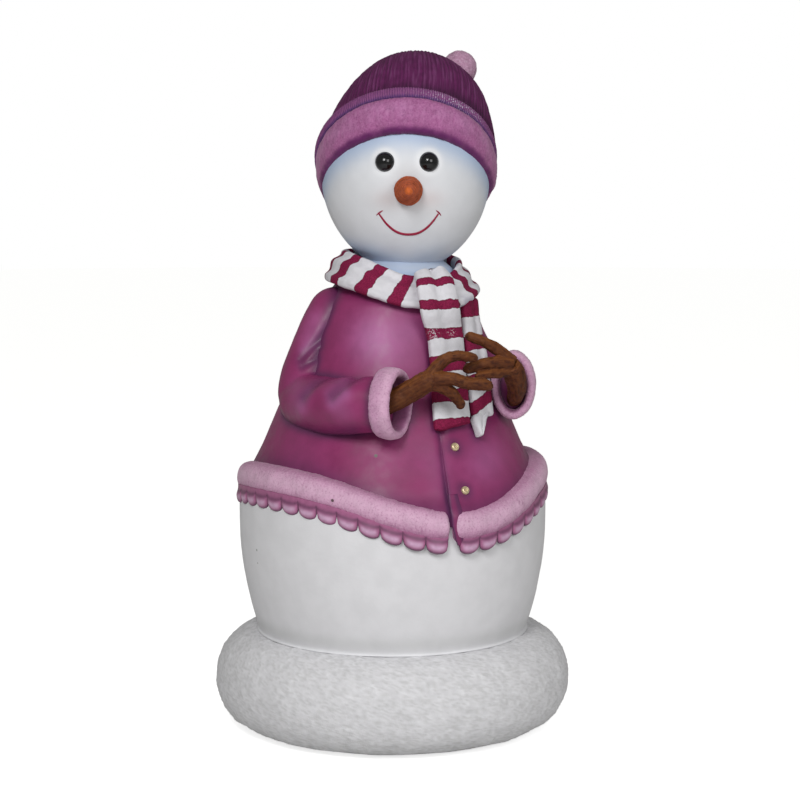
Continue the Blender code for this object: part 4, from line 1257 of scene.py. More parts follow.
def right_arm() -> Arm:
    """The arm that is seen whole, with its sleeve creased at the elbow."""
    elbow_folds = (
        Fold(((-0.222, -0.215, 0.972), (-0.2529, -0.2521, 0.9747), (-0.2923, -0.2614, 0.9548),
              (-0.3106, -0.2315, 0.9243)), 0.020, 0.0080),
        Fold(((-0.252, -0.140, 0.972), (-0.285, -0.145, 0.967), (-0.3041, -0.1318, 0.9463),
              (-0.3276, -0.1101, 0.9101)), 0.020, 0.0080),
        Fold(((-0.222, -0.045, 1.072), (-0.2356, -0.0298, 1.050), (-0.2656, -0.0248, 1.0246),
              (-0.2863, -0.0134, 0.9983)), 0.018, 0.0060),
        Fold(((-0.240, -0.036, 1.016), (-0.2546, -0.0373, 0.9996), (-0.2873, -0.0267, 0.9797)), 0.016,
             0.0060),
    )
    return Arm(
        Side.RIGHT,
        ((-0.115, 0.020, 1.135, 0.050), (-0.155, 0.028, 1.118, 0.068), (-0.182, 0.032, 1.085, 0.066),
         (-0.210, 0.032, 1.025, 0.067), (-0.240, 0.025, 0.950, 0.074), (-0.255, 0.018, 0.895, 0.073),
         (-0.258, 0.014, 0.850, 0.050),
         (-0.258, 0.012, 0.828, 0.022)),
        ((-0.243, 0.070, 0.890, 0.030), (-0.250, 0.045, 0.887, 0.060), (-0.260, -0.005, 0.884, 0.074),
         (-0.266, -0.090, 0.884, 0.076), (-0.258, -0.180, 0.889, 0.074), (-0.236, -0.250, 0.898, 0.072)),
        (-0.1667, -0.3337, 0.905), 38.0, 1.0, 1.0,
        ((-0.224, -0.281, 0.888, 0.029), (-0.186, -0.310, 0.908, 0.029), (-0.164, -0.326, 0.921, 0.028),
         (-0.137, -0.344, 0.940, 0.028), (-0.115, -0.366, 0.959, 0.028), (-0.094, -0.384, 0.973, 0.024)),
        (((-0.108, -0.373, 0.974, 0.019), (-0.086, -0.386, 1.004, 0.016), (-0.067, -0.396, 1.021, 0.015),
          (-0.044, -0.403, 1.026, 0.013), (-0.016, -0.406, 1.023, 0.013), (0.007, -0.406, 1.019, 0.010)),
         ((-0.099, -0.386, 0.970, 0.022), (-0.076, -0.401, 0.970, 0.018), (-0.055, -0.413, 0.968, 0.017),
          (-0.034, -0.421, 0.960, 0.016), (-0.010, -0.430, 0.957, 0.016), (0.017, -0.436, 0.954, 0.016),
          (0.031, -0.437, 0.948, 0.012)),
         ((-0.096, -0.381, 0.957, 0.019), (-0.071, -0.391, 0.944, 0.016), (-0.051, -0.393, 0.931, 0.015),
          (-0.033, -0.391, 0.912, 0.013), (-0.021, -0.387, 0.898, 0.011))),
        elbow_folds,
        # painted highlights on the sleeve's ridges
        (Stroke(((-0.2889, -0.2657, 0.932), (-0.3126, -0.2450, 0.908)), 0.017, 0.75),
         Stroke(((-0.3060, -0.1077, 0.920), (-0.3276, -0.1101, 0.888)), 0.016, 0.65),
         Stroke(((-0.2250, -0.0294, 1.078), (-0.252, -0.020, 1.044), (-0.276, -0.010, 1.020)), 0.012, 0.60),
         Stroke(((-0.262, -0.215, 0.965), (-0.300, -0.200, 0.930)), 0.014, 0.35),
         Stroke(((-0.236, -0.010, 1.100), (-0.262, -0.015, 1.050)), 0.030, 0.42),
         Stroke(((-0.318, -0.060, 0.930), (-0.325, -0.090, 0.880)), 0.030, 0.30),
         Stroke(((-0.300, -0.270, 0.890),), 0.030, 0.30)),
        # painted shade under the arm, against the coat
        (Stroke(((-0.330, -0.080, 0.812), (-0.300, -0.200, 0.812), (-0.270, -0.270, 0.828)), 0.026, 0.65),),
    )


def left_arm() -> Arm:
    """The arm on the far side, whose forearm is a narrow upright oval."""
    mirrored = tuple((-x, y - 0.050, z + 0.003, r) for x, y, z, r in right_arm().upper)
    return Arm(
        Side.LEFT, mirrored,
        ((0.243, 0.070, 0.912, 0.022), (0.250, 0.045, 0.910, 0.045), (0.260, -0.005, 0.907, 0.056),
         (0.258, -0.075, 0.907, 0.056), (0.247, -0.145, 0.912, 0.053), (0.232, -0.215, 0.919, 0.050)),
        (0.187, -0.306, 0.930), -38.0, 0.60, 1.4,
        ((0.213, -0.270, 0.888, 0.018), (0.198, -0.299, 0.898, 0.020), (0.184, -0.329, 0.920, 0.024),
         (0.168, -0.351, 0.947, 0.027), (0.149, -0.369, 0.972, 0.028), (0.131, -0.381, 0.993, 0.024)),
        (((0.136, -0.377, 1.000, 0.019), (0.102, -0.376, 1.029, 0.016), (0.076, -0.373, 1.045, 0.015),
          (0.053, -0.367, 1.057, 0.013), (0.035, -0.356, 1.065, 0.013), (0.023, -0.349, 1.070, 0.011)),
         ((0.130, -0.383, 0.996, 0.018), (0.090, -0.385, 1.002, 0.016), (0.062, -0.382, 1.001, 0.016),
          (0.035, -0.377, 0.995, 0.015), (0.014, -0.373, 0.990, 0.015), (0.004, -0.371, 0.989, 0.012)),
         ((0.135, -0.377, 0.980, 0.017), (0.096, -0.385, 0.975, 0.013), (0.064, -0.389, 0.974, 0.012),
          (0.038, -0.391, 0.972, 0.011), (0.024, -0.393, 0.971, 0.009))),
        (Fold(((0.262, -0.130, 1.000), (0.300, -0.110, 0.975), (0.316, -0.090, 0.940)), 0.015, 0.0065),
         Fold(((0.236, -0.020, 1.075), (0.270, -0.018, 1.050), (0.296, -0.010, 1.030)), 0.013, 0.0055),
         Fold(((0.250, -0.030, 1.020), (0.290, -0.030, 1.005)), 0.012, 0.0050)),
        # painted highlights on the sleeve, then painted shade under the arm
        (Stroke(((0.305, -0.100, 0.925),), 0.030, 0.45), Stroke(((0.236, -0.010, 1.110),), 0.030, 0.40)),
        (Stroke(((0.310, -0.080, 0.835), (0.280, -0.200, 0.850)), 0.026, 0.60),),
    )


# ------------------------------------------------------------------ head

@dataclass
class Head:
    """The egg-shaped head on its neck, with its face."""

    centre: tuple[float, float, float] = (0.0135, -0.0485, 1.490)
    radius: float = 0.225
    half_height: float = 0.265
    turn: float = -30.0
    eye_radius: float = 0.026
    eye_side: float = 0.055
    eye_rise: float = 0.020
    eye_sink: float = 0.007
    nose_base: float = 0.036
    nose_drop: float = 0.053
    nose_sink: float = 0.010
    neck_centre: tuple[float, float] = (0.012, -0.035)
    neck_outline: tuple[tuple[float, float], ...] = (
        (0.092, 1.272), (0.101, 1.258), (0.115, 1.246), (0.130, 1.233), (0.140, 1.220), (0.145, 1.205),
        (0.145, 1.1903))
    smile_middle: float = 0.007
    smile_half: float = 0.0755
    smile_low: float = -0.1645
    smile_rise: float = 0.0530
    smile_power: float = 2.3

    def on_face(self, side: Array | float, rise: Array | float, sink: float = 0.0) -> Array:
        """Points on the face, given sideways and upwards from the head's centre.

        Args:
            side: how far to the head's left.
            rise: how far above its centre.
            sink: how far inside its skin.

        Returns:
            The points.
        """
        side, rise = np.broadcast_arrays(np.asarray(side, float), np.asarray(rise, float))
        share = 1.0 - (side / self.radius) ** 2 - (rise / self.half_height) ** 2
        local = np.stack([side, -self.radius * np.sqrt(share) + sink, rise], axis=-1)
        return local @ turned_about_z(self.turn).T + self.centre

    def outward(self, points: Array) -> Array:
        """The head's outward direction at points on it."""
        away = (points - self.centre) / np.array((self.radius, self.radius, self.half_height)) ** 2
        return away / np.linalg.norm(away, axis=-1, keepdims=True)

    def build(self) -> Piece:
        """Makes the head's skin; paint() finishes it once its neighbours are there."""
        angle = np.linspace(0.02, math.pi - 0.02, 120)
        outline = np.stack([self.radius * np.sin(angle), self.half_height * np.cos(angle)
                            + self.centre[2]], axis=1)
        piece = lathe("snow_head", outline, 210, self.centre[:2])
        points = places(piece)
        puff(piece, 0.0007 * wander(points, 0.07, 15.0, 2) + 0.00015 * wander(points, 0.010, 16.0, 2))
        return piece

    def paint(self, piece: Piece, neighbours: Sequence[Piece]) -> Piece:
        """Paints pale blue shade along the brim and scarf and towards the bottom, leaves a paler ring clear
        of it around each eye, and adds a blush in the cheeks.
        """
        points = places(piece)
        # painted pale blue shade under the brim, beside the scarf and towards the bottom of the head
        blue = 0.82 * closeness(points, neighbours, 0.038)
        low = 0.14 * smooth_step(-points[:, 2], -1.38, -1.25)
        edge = 1.0 - (1.0 - blue) * (1.0 - low)
        local = (points - self.centre) @ turned_about_z(self.turn)
        blush = sum(bell(np.hypot((local[:, 0] - 0.006 - side) / 0.040,
                                  (local[:, 2] + self.nose_drop + 0.022) / 0.024), 0.0, 1.0)
                    for side in (-0.052, 0.052))
        mark(piece, "streak", 0.40 * blush * (local[:, 1] < 0.0))
        # a paler ring around each eye, kept clear of the painted shade
        ring = np.zeros(len(points))
        for side in (-self.eye_side, self.eye_side):
            away = np.linalg.norm(points - self.on_face(side + 0.002, self.eye_rise, self.eye_sink), axis=1)
            ring = np.maximum(ring, bell(away, self.eye_radius + 0.003, 0.009))
        mark(piece, "shade", np.clip(edge * (1.0 - ring), 0.0, 1.0))
        mark(piece, "light", np.clip(0.6 * ring, 0.0, 1.0))
        return deliver(piece, FACE_WHITE, Slot.FACE, "head")

    def neck(self, neighbours: Sequence[Piece]) -> Piece:
        """The short neck, in pale blue painted shade, deepest where the scarf wraps it and under the chin.
        """
        sides = curve_through(self.neck_outline, 60)
        outline = np.vstack([[(0.03, sides[0, 1])], sides, [(0.03, sides[-1, 1])]])
        piece = lathe("snow_neck", outline, 160, self.neck_centre)
        points = places(piece)
        under_chin = smooth_step(points[:, 2], 1.235, 1.262)
        # painted blue shade all over, deeper beside the scarf and under the chin
        mark(piece, "shade",
             np.clip(0.55 + 0.4 * closeness(points, neighbours, 0.020) + 0.3 * under_chin, 0.0, 1.0))
        return deliver(piece, FACE_WHITE, Slot.FACE, "neck")

    def eye(self, side: Side) -> Piece:
        """A glossy black bead set into the face."""
        sign = -1.0 if side is Side.RIGHT else 1.0
        seat = self.on_face(sign * self.eye_side + 0.002, self.eye_rise, self.eye_sink)
        angle = np.linspace(0.03, math.pi - 0.03, 48)
        outline = np.stack([np.sin(angle), np.cos(angle)], axis=1) * self.eye_radius
        piece = lathe(side.value + "_eye_bead", outline, 72)
        move_to(piece, places(piece) + seat)
        return deliver(piece, EYE_BLACK, Slot.EYE, "eye_" + side.value)

    def nose(self) -> Piece:
        """A tapered carrot with uneven growth rings and a rounded tip."""
        steps = np.array(((0.0, 0.86), (0.012, 1.0), (0.035, 0.93), (0.065, 0.70), (0.090, 0.45),
                          (0.106, 0.30), (0.1125, 0.19), (0.1150, 0.05)))
        route = curve_through(steps, 110)
        reach, share = route[:, :1], np.maximum(route[:, 1:], 0.02)
        angle = np.linspace(0.0, math.tau, 72, endpoint=False)[None, :]
        rings = (0.0013
                 * (np.sin(reach * 620.0 + 1.3 * np.sin(angle * 2.0)) + 0.7
                    * np.sin(reach * 1130.0 + 2.0 * np.sin(angle + 1.0))))
        radius = self.nose_base * share + rings * smooth_step(share, 0.2, 0.5)
        local = np.stack(np.broadcast_arrays(radius * 0.97 * np.cos(angle), -reach, radius
                                             * np.sin(angle)), axis=-1)
        seat = self.on_face(0.006, -self.nose_drop, self.nose_sink)
        piece = skin("carrot", local @ turned_about_z(self.turn).T + seat)
        points = places(piece)
        puff(piece, 0.0007 * wander(points, 0.007, 17.0, 2))
        out = np.append(np.broadcast_to(reach, rings.shape).ravel(), (0.0, 0.115))
        groove = np.append(rings.ravel(), (0.0, 0.0))
        # paler orange towards the tip and painted highlights on the growth rings' ridges; painted shade in
        # their grooves and where the carrot meets the face
        mark(piece, "light",
             np.clip(smooth_step(out, 0.103, 0.112) + 0.45 * smooth_step(groove, 0.0002, 0.0014), 0.0, 1.0))
        mark(piece, "shade", np.clip(smooth_step(-groove, 0.0001, 0.0010) * smooth_step(-out, -0.100, -0.085)
                                     + 0.5 * bell(out, 0.012, 0.010), 0.0, 1.0))
        return deliver(piece, CARROT, Slot.CARROT, "carrot_nose")

    def smile(self) -> Piece:
        """The painted smile, with a short tick across each end."""
        turn = np.linspace(-1.0, 1.0, 90)
        curve = np.stack([self.smile_middle + self.smile_half * turn,
                          self.smile_low + self.smile_rise * np.abs(turn) ** self.smile_power], axis=1)
        main = self.painted_line("smile", curve, 0.0022 + 0.0016 * np.clip(1.0 - np.abs(turn) ** 3, 0, 1))
        right_tick = curve_through(((-0.0755, -0.1150), (-0.068, -0.1085), (-0.0590, -0.1030)), 20)
        left_tick = curve_through(((0.0770, -0.1030), (0.0840, -0.1085), (0.0895, -0.1160)), 20)
        fine = 0.0007 + 0.0012 * np.sin(np.linspace(0.0, math.pi, 20))
        for number, tick in enumerate((right_tick, left_tick)):
            deliver(self.painted_line(f"smile_tick_{number + 1}", tick, fine), SMILE_CRIMSON, Slot.FACE)
        return deliver(main, SMILE_CRIMSON, Slot.FACE)

    def painted_line(self, name: str, route: Array, half_width: Array) -> Piece:
        """A thin raised line of paint along a route of (side, rise) points on the face.

        Args:
            name: the piece's name.
            route: side and rise along the line.
            half_width: half its width there.

        Returns:
            The line of paint.
        """
        middle = self.on_face(route[:, 0], route[:, 1])
        outward = self.outward(middle)
        ahead = np.gradient(middle, axis=0)
        ahead /= np.linalg.norm(ahead, axis=1)[:, None]
        side = np.cross(outward, ahead)
        angle = np.linspace(0.0, math.tau, 12, endpoint=False)
        grid = (middle[:, None] + side[:, None] * (half_width[:, None] * np.cos(angle))[..., None]
                + outward[:, None] * (0.0006 + 0.0011 * np.sin(angle))[None, :, None])
        return skin(name, grid)


@dataclass
class Hat:
    """The knitted hat: crown, ribbed band, fat fleece brim and pompom, leaning back on the head."""

    head: Head
    back: float = 0.020
    lean_side: float = 0.011
    centre_z: float = 1.515
    radii: tuple[float, float, float] = (0.230, 0.250, 0.290)
    tilt: float = 38.0
    plane_z: float = 1.436
    roll_span: tuple[float, float] = (-0.020, 0.0675)
    roll_proud: float = 0.0145
    band_span: tuple[float, float] = (0.0655, 0.0975)
    band_proud: float = 0.0125
    crown_edge: float = 0.0915
    crown_lean: float = 0.014     # how far its top leans sideways
    ribs: int = 132
    band_ribs: int = 300
    pompom_centre: tuple[float, float, float] = (0.186, -0.038, 1.764)
    pompom_radius: float = 0.0465

    def axes(self) -> tuple[Array, Array, Array, Array]:
        """The brim plane's crossing with the head's axis, and its side, back and up directions."""
        turn, tilt = turned_about_z(self.head.turn), math.radians(self.tilt)
        side, back = np.array((1.0, 0.0, 0.0)), np.array((0.0, math.cos(tilt), -math.sin(tilt)))
        up = np.array((0.0, math.sin(tilt), math.cos(tilt)))
        origin = np.array((*self.head.centre[:2], self.plane_z))
        return origin, turn @ side, turn @ back, turn @ up

    def crown_centre(self, side: float = 0.0) -> Array:
        """Centre of the crown's ellipsoid."""
        away = turned_about_z(self.head.turn) @ np.array((side, self.back, 0.0))
        return np.array((self.head.centre[0] + away[0], self.head.centre[1] + away[1], self.centre_z))

    def squashed(self, vectors: Array) -> Array:
        """Vectors as the crown's ellipsoid sees them, where it is a unit ball."""
        return vectors @ turned_about_z(-self.head.turn).T / np.array(self.radii)

    def on_crown(self, angle: Array, rise: Array, proud: Array) -> Array:
        """Points over the crown, at angles around the brim and rises above its plane.

        Args:
            angle: angles around the brim.
            rise: heights above its plane.
            proud: how far off the crown.

        Returns:
            The points.
        """
        origin, side, back, up = self.axes()
        angle, rise, proud = (np.asarray(v, float)[..., None]
                              for v in np.broadcast_arrays(angle, rise, proud))
        start = origin + up * rise
        ray = side * np.cos(angle) + back * np.sin(angle)
        p, d = self.squashed(start - self.crown_centre()), self.squashed(ray)
        a, b, c = (d * d).sum(-1), (p * d).sum(-1), (p * p).sum(-1) - 1.0
        reach = (-b + np.sqrt(b * b - a * c)) / a
        return start + ray * (reach[..., None] + proud)

    def section(self, span: tuple[float, float], proud: float, points: int, power: float,
                inset: float) -> tuple[Array, Array, Array]:
        """Rises, heights and the angle around a band's section, rounded outside.

        Args:
            span: its lower and upper edge.
            proud: how far it stands out.
            points: points around it.
            power: how square its corners are.
            inset: how far it reaches in.

        Returns:
            The three lists.
        """
        angle = np.linspace(0.0, math.tau, points, endpoint=False)
        cosine, sine = rounded(angle, power)
        out = np.where(sine > 0.0, proud * sine, inset * sine)
        return (span[0] + span[1]) / 2 - (span[1] - span[0]) / 2 * cosine, out, angle

    def crown(self) -> Piece:
        """The knitted crown, whose uneven ribs run up to its top."""
        origin, side, back, up = self.axes()
        around = np.linspace(0.0, math.tau, self.ribs * 6, endpoint=False)[None, :]
        low, high = np.zeros_like(around), np.full_like(around, math.pi * 0.8)
        centre = self.crown_centre(self.lean_side)

        def on_skin(fall: Array) -> Array:
            """Points on the crown at angles from its top."""
            ray = ((side * np.cos(around)[..., None] + back * np.sin(around)[..., None])
                   * np.sin(fall)[..., None]
                   + up * np.cos(fall)[..., None])
            return centre + ray / np.linalg.norm(self.squashed(ray), axis=-1)[..., None]

        for _ in range(26):
            middle = (low + high) / 2
            above = (on_skin(middle) - origin) @ up > self.crown_edge
            low, high = np.where(above, middle, low), np.where(above, high, middle)
        rows = np.linspace(0.012, 1.0, 60)[:, None]
        fall = rows * low
        grid = on_skin(fall)
        tuck = [on_skin(low) + (centre + up * (self.crown_edge - 0.08) - on_skin(low)) * share
                for share in (0.06, 0.5)]
        cap = np.vstack([grid, *tuck])
        over = smooth_step(cap[..., 2:], 1.58, 1.76)
        piece = skin("knitted_crown", cap + turned_about_z(self.head.turn)[:, 0] * (over * self.crown_lean))
        columns = around.size
        count = 60 * columns
        flat = np.stack(np.broadcast_arrays(np.cos(around) * 3.0, np.sin(around) * 3.0, fall * 0.35),
                        axis=-1).reshape(-1, 3)
        drift = wander(flat, 0.25, 18.0, 2)
        phase = np.tile(around[0] * self.ribs, 60) + 2.6 * drift
        fade = np.repeat(smooth_step(rows[:, 0], 0.03, 0.18), columns)
        ribs = np.cos(phase)
        long_noise = wander(flat * (1.0, 1.0, 0.5), 0.055, 19.0, 3)
        amount = np.zeros(len(piece.data.vertices))
        amount[:count] = fade * (0.0008 * ribs + 0.0010 * long_noise)
        puff(piece, amount)
        shade, streak = np.zeros(len(amount)), np.zeros(len(amount))
        # painted shade in the rib valleys, in darker patches and along the lower edge against the band; the
        # streaks are paler brush streaks
        edge = np.repeat(bell(rows[:, 0], 1.0, 0.06), columns)
        shade[:count] = np.clip(0.28 * smooth_step(-ribs, 0.3, 0.9) + 0.30
                                * smooth_step(-long_noise, 0.1, 0.5) + 0.75 * edge,
                                0.0, 1.0)
        streak[:count] = np.clip(0.50 * smooth_step(long_noise, 0.05, 0.60), 0.0, 1.0) * (1.0 - 0.8 * edge)
        mark(piece, "shade", shade)
        mark(piece, "streak", streak)
        return deliver(piece, CROWN_KNIT, Slot.CROWN, "hat_crown")

    def band(self) -> Piece:
        """The fine-ribbed band above the brim, with rubbed ribs on one side."""
        around = np.linspace(0.0, math.tau, self.band_ribs * 6, endpoint=False)[:, None]
        rise, out, angle = self.section(self.band_span, self.band_proud, 16, 0.8, 0.012)
        grid = self.on_crown(around, rise[None, :], out[None, :])
        piece = skin("ribbed_band", grid, ring=True)
        turns = np.repeat(around[:, 0], 16)
        soft = wander(np.stack([np.cos(turns) * 3, np.sin(turns) * 3, np.tile(rise * 20, around.size)], 1),
                      0.10, 20.0, 2)
        ribs = np.cos(turns * self.band_ribs + 1.4 * soft)
        outer = np.tile(smooth_step(np.sin(angle), 0.05, 0.5), around.size)
        puff(piece, outer * (0.0008 * ribs + 0.0006 * soft))
        # painted shade along the lower and upper edges against the brim and crown and in the rib valleys;
        # the streaks here are painted highlights on the rib ridges; the worn mark is rubbed paint
        low = np.tile(smooth_step(np.cos(angle), 0.30, 0.95), around.size)
        high = np.tile(smooth_step(-np.cos(angle), 0.72, 1.0), around.size)
        mark(piece, "shade", np.clip(0.9 * low + 0.5 * high + 0.40 * smooth_step(-ribs, 0.1, 0.9), 0.0, 1.0))
        mark(piece, "streak", 0.35 * smooth_step(ribs, 0.2, 0.9) * (1.0 - low))
        front = bell((np.degrees(turns) + 62.0 + 180.0) % 360.0 - 180.0, 0.0, 17.0)
        mark(piece, "worn", np.clip(front * bell(np.tile(np.cos(angle), around.size), 0.15, 0.6)
                                    * smooth_step(ribs, -0.2, 0.6), 0.0, 1.0))
        return deliver(piece, BAND_KNIT, Slot.BAND, "hat_rib_band")

    def brim(self) -> Piece:
        """The fat fleece roll of the brim, with painted shade along its lower edge."""
        around = np.linspace(0.0, math.tau, 600, endpoint=False)[:, None]
        rise, out, angle = self.section(self.roll_span, self.roll_proud, 48, 0.72, 0.022)
        turns = np.degrees(around)
        tucked = 0.011 * bell(turns, 25.0, 30.0) + 0.013 * bell(turns, 155.0, 32.0)
        lower = smooth_step(np.cos(angle), -0.4, 0.9)[None, :]
        raised = (0.012 * (bell(turns, 10.0, 40.0) + bell(turns, 170.0, 40.0) + bell(turns, 370.0, 40.0))
                  * lower)
        piece = skin("fleece_brim", self.on_crown(around, rise[None, :] + raised, out[None, :] - tucked),
                     ring=True)
        points = places(piece)
        tufts = wander(points, 0.0065, 21.0, 3)
        lumps = wander(points, 0.030, 22.0, 2)
        puff(piece, 0.0008 * tufts + 0.0012 * lumps)
        # painted shade along the lower edge and the upper edge against the band, painted highlights across
        # the roll's face
        low = np.tile(smooth_step(np.cos(angle), 0.55, 0.97), 600)
        high = np.tile(smooth_step(-np.cos(angle), 0.80, 1.0), 600)
        face = np.tile(bell(np.cos(angle), -0.15, 0.50), 600)
        mark(piece, "shade", np.clip(low + 0.55 * high + 0.25 * lumps, 0.0, 1.0))
        mark(piece, "light", np.clip(face * (0.45 + 0.6 * tufts + 0.5 * lumps), 0.0, 1.0))
        return deliver(piece, BRIM_FLEECE, Slot.FLEECE, "hat_brim_roll")

    def pompom(self) -> Piece:
        """The fleece pompom."""
        angle = np.linspace(0.03, math.pi - 0.03, 72)
        outline = np.stack([np.sin(angle), np.cos(angle)], axis=1) * self.pompom_radius
        piece = lathe("fleece_pompom", outline, 110)
        points = places(piece)
        tufts = wander(points, 0.006, 23.0, 3)
        puff(piece, 0.0012 * tufts + 0.0014 * wander(points, 0.022, 24.0, 2))
        move_to(piece, places(piece) + self.pompom_centre)
        # painted shade in the hollows between tufts and underneath, painted highlights on raised tufts
        mark(piece, "shade",
             np.clip(0.5 * smooth_step(-tufts, 0.1, 0.5) + 0.4 * smooth_step(-points[:, 2], 0.01, 0.045),
                     0, 1))
        mark(piece, "light", 0.4 * smooth_step(tufts, 0.1, 0.5))
        return deliver(piece, POMPOM_FLEECE, Slot.FLEECE, "pompom")


# ------------------------------------------------------------------ scarf

@dataclass
class Scarf:
    """The striped scarf: its turn around the neck and two hanging ends."""

    neck: tuple[float, float] = (0.012, -0.035)
    inner: tuple[float, float] = (0.149, 1.277)      # radius and height of the turn's upper edge
    outer: tuple[float, float] = (0.201, 1.204)      # and of its lower one
    drops: tuple[tuple[float, float], ...] = (       # how far it hangs, by azimuth
        (-180.0, 0.0), (-120.0, 0.002), (-97.0, 0.004), (-67.0, 0.022), (-41.0, 0.050), (-31.0, 0.060),
        (-20.0, 0.065), (18.0, 0.068), (38.0, 0.046), (60.0, 0.032), (100.0, 0.014), (180.0, 0.0))
    thickness: float = 0.030
    front_end: tuple[tuple[float, float, float, float], ...] = (   # azimuth, height, radius, width
        (0.4, 1.236, 0.196, 0.098), (-0.9, 1.216, 0.222, 0.106), (-2.2, 1.193, 0.241, 0.109),
        (-2.0, 1.155, 0.257, 0.112), (-0.9, 1.121, 0.258, 0.114), (2.2, 1.080, 0.250, 0.110),
        (3.0, 1.050, 0.256, 0.107), (2.4, 1.010, 0.266, 0.105), (0.4, 0.940, 0.290, 0.105),
        (-1.1, 0.890, 0.311, 0.106), (-2.5, 0.835, 0.333, 0.103))
    front_stripes: tuple[tuple[float, float], ...] = (
        (1.208, 1.1915), (1.1575, 1.136), (1.089, 1.056), (1.013, 0.972), (0.927, 0.897), (0.8565, 0.780))
    rear_end: tuple[tuple[float, float, float, float], ...] = (
        (31.0, 1.155, 0.230, 0.084), (32.5, 1.105, 0.232, 0.086), (28.5, 1.050, 0.250, 0.088),
        (24.5, 0.985, 0.275, 0.086), (21.0, 0.938, 0.291, 0.084), (17.0, 0.872, 0.318, 0.080),
        (16.6, 0.862, 0.321, 0.074), (13.4, 0.852, 0.327, 0.052), (12.2, 0.829, 0.335, 0.031),
        (11.2, 0.808, 0.344, 0.009))
    rear_stripes: tuple[tuple[float, float], ...] = ((1.170, 1.106), (1.057, 1.020), (0.968, 0.940),
                                                     (0.908, 0.876))

    def stripe_count(self, azimuth: Array, down: Array) -> Array:
        """A number that passes a whole value in the middle of each maroon stripe of the turn.

        Args:
            azimuth: where round the neck.
            down: how far down the turn, 0 to 1.

        Returns:
            A number that is whole in the middle of each stripe.
        """
        lean = np.interp(azimuth, (-180.0, -120.0, -25.0, 22.0, 90.0, 180.0),
                         (0.0, 13.0, 13.0, -13.0, -12.0, 0.0))
        upper = azimuth + lean * down
        return np.interp(upper, (-180.0, -78.3, -48.6, -23.7, 27.0, 60.0, 180.0),
                         (-5.5, -2.0, -1.0, 0.0, 2.0, 3.0, 7.5))

    def turn(self) -> Piece:
        """The thick sloping turn around the neck, with soft folds running along it."""
        rows, columns = 440, 68
        azimuth = np.linspace(-180.0, 180.0, rows, endpoint=False)[:, None]
        drop = np.interp(azimuth, *np.array(self.drops).T)
        drop = sum(np.roll(drop, step, axis=0) for step in range(-12, 13)) / 25.0
        inner, outer = np.array(self.inner), np.array(self.outer)
        along = (outer - inner) / 2
        across = np.array((-along[1], along[0])) / np.linalg.norm(along)
        angle = np.linspace(0.0, math.tau, columns, endpoint=False)[None, :]
        cosine, sine = rounded(angle, 0.74)
        down = (1.0 + cosine) / 2
        folds = 0.0045 * np.cos(down * 2.0 * math.tau + 0.7 * np.sin(np.radians(azimuth * 3.0)) + 0.4)
        hollow = 0.012 * bell(azimuth, 62.0, 34.0) * np.sin(math.pi * down)
        folds = (folds * smooth_step(sine, 0.0, 0.5) * smooth_step(down, 0.02, 0.2)
                 * smooth_step(-down, -0.98, -0.8))
        swell = 1.0 + 0.10 * np.sin(np.radians(azimuth * 5.0 + 40.0))
        out = (self.thickness / 2 * sine * swell) * 1.05 + folds - hollow
        radius = (inner[0] + outer[0]) / 2 + along[0] * 1.08 * cosine + across[0] * out
        height = (inner[1] + outer[1]) / 2 + along[1] * 1.08 * cosine + across[1] * out - drop
        grid = around_axis(azimuth, radius, height) + np.array((*self.neck, 0.0))
        piece = skin("striped_scarf_turn", grid, ring=True)
        points = places(piece)
        puff(piece, 0.0012 * wander(points, 0.035, 25.0, 2) + 0.0004 * wander(points, 0.006, 26.0, 2))
        count = self.stripe_count(np.broadcast_to(azimuth, grid.shape[:2]).ravel(),
                                  np.broadcast_to(down, grid.shape[:2]).ravel())
        metres = 0.088
        mark(piece, "stripe", (0.20 - np.abs(count - np.round(count))) * metres)
        return piece

    def hanging_end(self, name: str, stations: Sequence[Sequence[float]], rows: int,
                    groove: Callable[[Array, Array], Array]) -> tuple[Piece, Array, Array]:
        """A hanging end that follows the coat.

        Args:
            name: the piece's name.
            stations: azimuth, height, radius and width down its middle.
            rows: how many rows of points it has.
            groove: how deep its face dips, from the place across it and the height.

        Returns:
            The piece, and for each point of its sides the place across and the height.
        """
        columns = 72
        route = curve_through(stations, rows)
        middle = around_axis(route[:, 0], route[:, 2], route[:, 1])
        side = around_axis(route[:, 0] + 90.0, 1.0, 0.0)
        face = np.cross(side, np.gradient(middle, axis=0))
        face /= -np.linalg.norm(face, axis=1)[:, None]
        angle = np.linspace(0.0, math.tau, columns, endpoint=False)
        cosine, sine = rounded(angle, 0.62)
        place = np.linspace(0.0, 1.0, rows)
        length = float(np.linalg.norm(np.diff(middle, axis=0), axis=1).sum())
        from_end = np.minimum(place, 1.0 - place) * length
        closing = np.sqrt(np.clip(1.0 - np.clip(1.0 - from_end / 0.011, 0.0, 1.0) ** 2, 0.02, 1.0))[:, None]
        across = np.broadcast_to(0.5 * cosine, (rows, columns))
        height = np.broadcast_to(route[:, 1:2], (rows, columns))
        dip = groove(across, height) * (sine > 0.0)
        out = 0.013 * closing * sine[None, :] - dip
        grid = (middle[:, None] + side[:, None] * (route[:, 3:4] * across)[..., None]
                + face[:, None] * out[..., None])
        piece = skin(name, grid)
        return piece, across.ravel(), height.ravel()

    @staticmethod
    def into_stripes(height: Array, stripes: Sequence[tuple[float, float]]) -> Array:
        """How far inside the nearest stripe each height is, metres; below 0 outside them.

        Args:
            height: the points' heights.
            stripes: each stripe's top and bottom.

        Returns:
            How deep inside a stripe each point lies.
        """
        inside = np.full(len(height), -1.0)
        for top, bottom in stripes:
            inside = np.maximum(inside, np.minimum(top - height, height - bottom))
        return inside

    def front(self) -> Piece:
        """The front end, with a soft groove down its middle and a wavy lower edge."""

